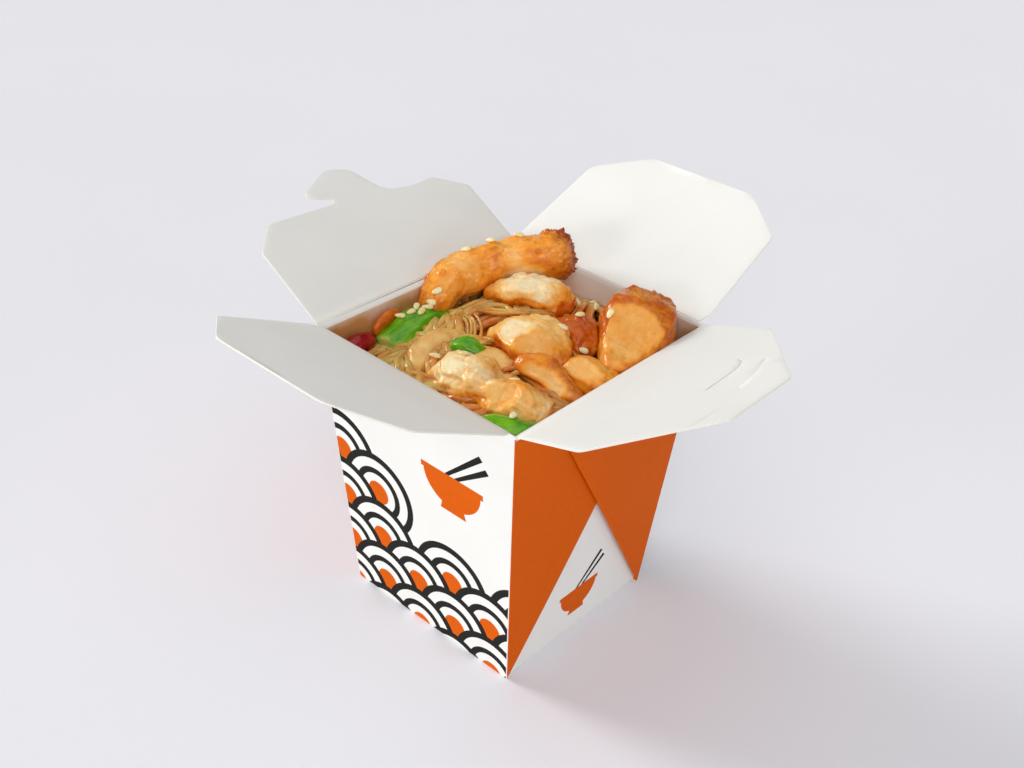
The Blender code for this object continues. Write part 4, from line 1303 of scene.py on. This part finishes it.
def make_seeds(settings):
    """The sesame seeds, each on the piece under it."""
    draw = random.Random(5)
    bm = bmesh.new()
    trees = {}
    for name, x, y, turn in SEEDS:
        piece = name if name == "noodle_strands" else name + "_piece"
        if piece not in trees:
            trees[piece] = tree_of(bpy.data.objects[piece])
        hit, normal = drop(trees[piece], x, y)
        if hit is None:
            raise RuntimeError(f"no {piece} under the seed at {x}, {y}")
        sesame_seed(bm, settings, hit / MM, turn, (normal + UP * 0.4).normalized(), draw)
    bmesh.ops.recalc_face_normals(bm, faces=bm.faces)
    made_of = soft_finish("sesame_toasted", settings.seed, linear("#F2CF86"), 1.3, roughness=0.4)
    made = object_from(bm, "sesame_seeds", [made_of], smooth=80)
    dress(made, "box", "sesame")


# Operators

class NOODLEBOX_OT_walls(bpy.types.Operator):
    """Makes the printed walls, the base and the folded webs of the end walls"""
    bl_idname = "noodle_box.walls"
    bl_label = "Walls and Webs"

    def execute(self, context):
        make_carton(context.scene.noodle_box_board)
        make_webs(context.scene.noodle_box_board)
        return {"FINISHED"}


class NOODLEBOX_OT_flaps(bpy.types.Operator):
    """Makes the four lid flaps and the creases that they turn on"""
    bl_idname = "noodle_box.flaps"
    bl_label = "Flaps"

    def execute(self, context):
        for name in FLAPS:
            make_flap(name, context.scene.noodle_box_board)
        make_creases(context.scene.noodle_box_board)
        return {"FINISHED"}


class NOODLEBOX_OT_chicken(bpy.types.Operator):
    """Makes the pieces of glazed chicken"""
    bl_idname = "noodle_box.chicken"
    bl_label = "Chicken"

    def execute(self, context):
        settings = context.scene.noodle_box_meat
        made_of = meat_finish(settings)
        noise.seed_set(NOISE_SEED)
        for node in MEAT:
            make_meat(node, settings, made_of)
        return {"FINISHED"}


class NOODLEBOX_OT_vegetables(bpy.types.Operator):
    """Makes the pieces of pepper, carrot and onion"""
    bl_idname = "noodle_box.vegetables"
    bl_label = "Vegetables"

    def execute(self, context):
        settings = context.scene.noodle_box_vegetables
        finishes = {
            "pepper_green": pepper_finish("pepper_green_cooked", settings.green, settings.deep_green,
                                          settings.flesh),
            "pepper_red": pepper_finish("pepper_red_cooked", settings.red, linear("#7C0A10"), linear("#E0564A")),
            "carrot": soft_finish("carrot_cooked", settings.carrot, linear("#B8560C"), 3.0, roughness=0.35),
            "onion": soft_finish("onion_cooked", settings.onion, linear("#E8A648"), 4.0, 0.1),
        }
        for node in VEGETABLES:
            make_vegetable(node, settings, finishes)
        return {"FINISHED"}


class NOODLEBOX_OT_noodles(bpy.types.Operator):
    """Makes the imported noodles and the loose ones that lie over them"""
    bl_idname = "noodle_box.noodles"
    bl_label = "Noodles"

    def execute(self, context):
        settings = context.scene.noodle_box_noodles
        heap = Heap()
        packed = soft_finish("glass_noodle_packed", linear("#D0781E"), linear("#9C4E0C"), 5.0)
        bed = object_from(noodle_bed(heap), "noodle_bed", [packed], smooth=80)
        dress(bed, "box", "glass_noodle", "noodles")
        food = tree_of(*[frame["nodes"][node] for node in [*MEAT, *VEGETABLES]])
        # The loose noodles deepen in colour towards +X, partly as painted shade.
        loose = soft_finish("glass_noodle_wet", settings.pale, settings.deep, 7.0, 0.2, 0.14, 0.5, 0.14)
        strands = object_from(lay_noodles(settings, heap, food), "noodle_strands", [loose], smooth=80)
        dress(strands, "box", "glass_noodle")
        return {"FINISHED"}


class NOODLEBOX_OT_seeds(bpy.types.Operator):
    """Strews the sesame seeds over the food"""
    bl_idname = "noodle_box.seeds"
    bl_label = "Sesame Seeds"

    def execute(self, context):
        make_seeds(context.scene.noodle_box_vegetables)
        return {"FINISHED"}


def aim(item, place, target):
    """Puts an object at a place in millimetres and turns it towards a target."""
    place = Vector(place) * MM
    turn = (place - Vector(target) * MM).to_track_quat("Z", "Y").to_matrix().to_4x4()
    item.matrix_world = Matrix.Translation(place) @ turn


def soft_light(name, way, spread, watts):
    """A wide soft light from a direction, as wide as its spread in degrees."""
    data = bpy.data.lights.new(name, "SUN")
    data.angle = math.radians(spread)
    data.energy = watts
    data.color = linear("#FFFEFC")[:3]
    made = bpy.data.objects.new(name, data)
    bpy.context.scene.collection.objects.link(made)
    aim(made, way, (0, 0, 0))


def surroundings(settings):
    """Plain studio surroundings: bright near the horizon, where they meet the floor, and dimmer overhead."""
    world = bpy.data.worlds.new("soft_surroundings")
    world.use_nodes = True
    tree = world.node_tree
    split = add(tree, "SeparateXYZ", {0: (add(tree, "TexCoord"), "Generated")})
    glow = add(tree, "MapRange", {0: (split, "Z"), 1: 0.05, 2: 0.35, 3: settings.horizon, 4: settings.ambient},
               interpolation_type="SMOOTHSTEP")
    link(tree, tree.nodes["Background"], {"Color": settings.sky, "Strength": (glow, 0)})
    return world


def floor_finish(colour_value):
    """A matt painted table top, even and pale."""
    made, tree, shader, place = new_finish("table_matt_paint", roughness=0.85, ior=1.45)
    cloud = add(tree, "TexNoise", {"Vector": place, "Scale": per(160), "Detail": 2.0})
    mixed = shaded(tree, colour_value, (cloud, 0), ((0.3, 0.985), (0.7, 1.0)))
    link(tree, shader, {"Base Color": (mixed, 2)})
    return made


class NOODLEBOX_OT_stage(bpy.types.Operator):
    """Adds the pale floor, the soft lights and the camera"""
    bl_idname = "noodle_box.stage"
    bl_label = "Stage"

    def execute(self, context):
        settings = context.scene.noodle_box_stage
        bm = bmesh.new()
        bmesh.ops.create_grid(bm, x_segments=4, y_segments=4, size=20000)
        floor = object_from(bm, "floor", [floor_finish(settings.floor)])
        floor.location.z = -0.05 * MM
        context.scene.world = surroundings(settings)
        soft_light("top_light", (0, 0, 1000), 80, settings.top)
        soft_light("left_light", (-1500, -350, 630), 22, settings.left)
        soft_light("right_light", (900, -1100, 930), 34, settings.right)
        soft_light("front_light", (-200, -1200, 90), 20, settings.front)
        soft_light("side_light", (1000, -150, 60), 20, settings.side)
        camera = bpy.data.cameras.new("camera")
        camera.sensor_width = 36.0
        camera.lens = CAMERA_LENS
        camera.clip_start = 0.01
        item = bpy.data.objects.new("camera", camera)
        context.scene.collection.objects.link(item)
        azimuth, elevation, roll = (math.radians(a) for a in (CAMERA_AZIMUTH, CAMERA_ELEVATION, CAMERA_ROLL))
        back = Vector((math.sin(azimuth) * math.cos(elevation), -math.cos(azimuth) * math.cos(elevation),
                       math.sin(elevation)))
        level = Vector((math.cos(azimuth), math.sin(azimuth), 0))
        over = back.cross(level)
        right = level * math.cos(roll) + over * math.sin(roll)
        up = over * math.cos(roll) - level * math.sin(roll)
        place = Vector(CAMERA_TARGET) + back * CAMERA_DISTANCE + right * CAMERA_SHIFT[0] + up * CAMERA_SHIFT[1]
        turned = Matrix((right, up, back)).transposed().to_4x4()
        turned.translation = place * MM
        item.matrix_world = turned
        context.scene.camera = item
        context.scene.view_settings.view_transform = "Standard"
        return {"FINISHED"}


class NOODLEBOX_PT_panel(bpy.types.Panel):
    """Lists the makers of the box, its food and its stage"""
    bl_idname = "NOODLEBOX_PT_panel"
    bl_label = "Noodle Box"
    bl_space_type = "VIEW_3D"
    bl_region_type = "UI"
    bl_category = "Noodle Box"

    def draw(self, context):
        for maker in MAKERS:
            self.layout.operator(maker.bl_idname)


SETTINGS = {
    "noodle_box_board": BoardSettings,
    "noodle_box_meat": MeatSettings,
    "noodle_box_vegetables": VegetableSettings,
    "noodle_box_noodles": NoodleSettings,
    "noodle_box_stage": StageSettings,
}
MAKERS = (NOODLEBOX_OT_walls, NOODLEBOX_OT_flaps, NOODLEBOX_OT_chicken, NOODLEBOX_OT_vegetables,
          NOODLEBOX_OT_noodles, NOODLEBOX_OT_seeds, NOODLEBOX_OT_stage)


def register():
    """Adds the settings, the operators and the panel to Blender."""
    for name, group in SETTINGS.items():
        bpy.utils.register_class(group)
        setattr(bpy.types.Scene, name, PointerProperty(type=group))
    for maker in MAKERS:
        bpy.utils.register_class(maker)
    bpy.utils.register_class(NOODLEBOX_PT_panel)


def unregister():
    """Takes the panel, the operators and the settings out of Blender."""
    bpy.utils.unregister_class(NOODLEBOX_PT_panel)
    for maker in reversed(MAKERS):
        bpy.utils.unregister_class(maker)
    for name, group in reversed(SETTINGS.items()):
        delattr(bpy.types.Scene, name)
        bpy.utils.unregister_class(group)


def main():
    """Makes the box, its food and its stage."""
    register()
    bpy.ops.noodle_box.walls()
    bpy.ops.noodle_box.flaps()
    bpy.ops.noodle_box.chicken()
    bpy.ops.noodle_box.vegetables()
    bpy.ops.noodle_box.noodles()
    bpy.ops.noodle_box.seeds()
    bpy.ops.noodle_box.stage()
    bpy.context.view_layer.update()


if __name__ == "__main__":
    main()
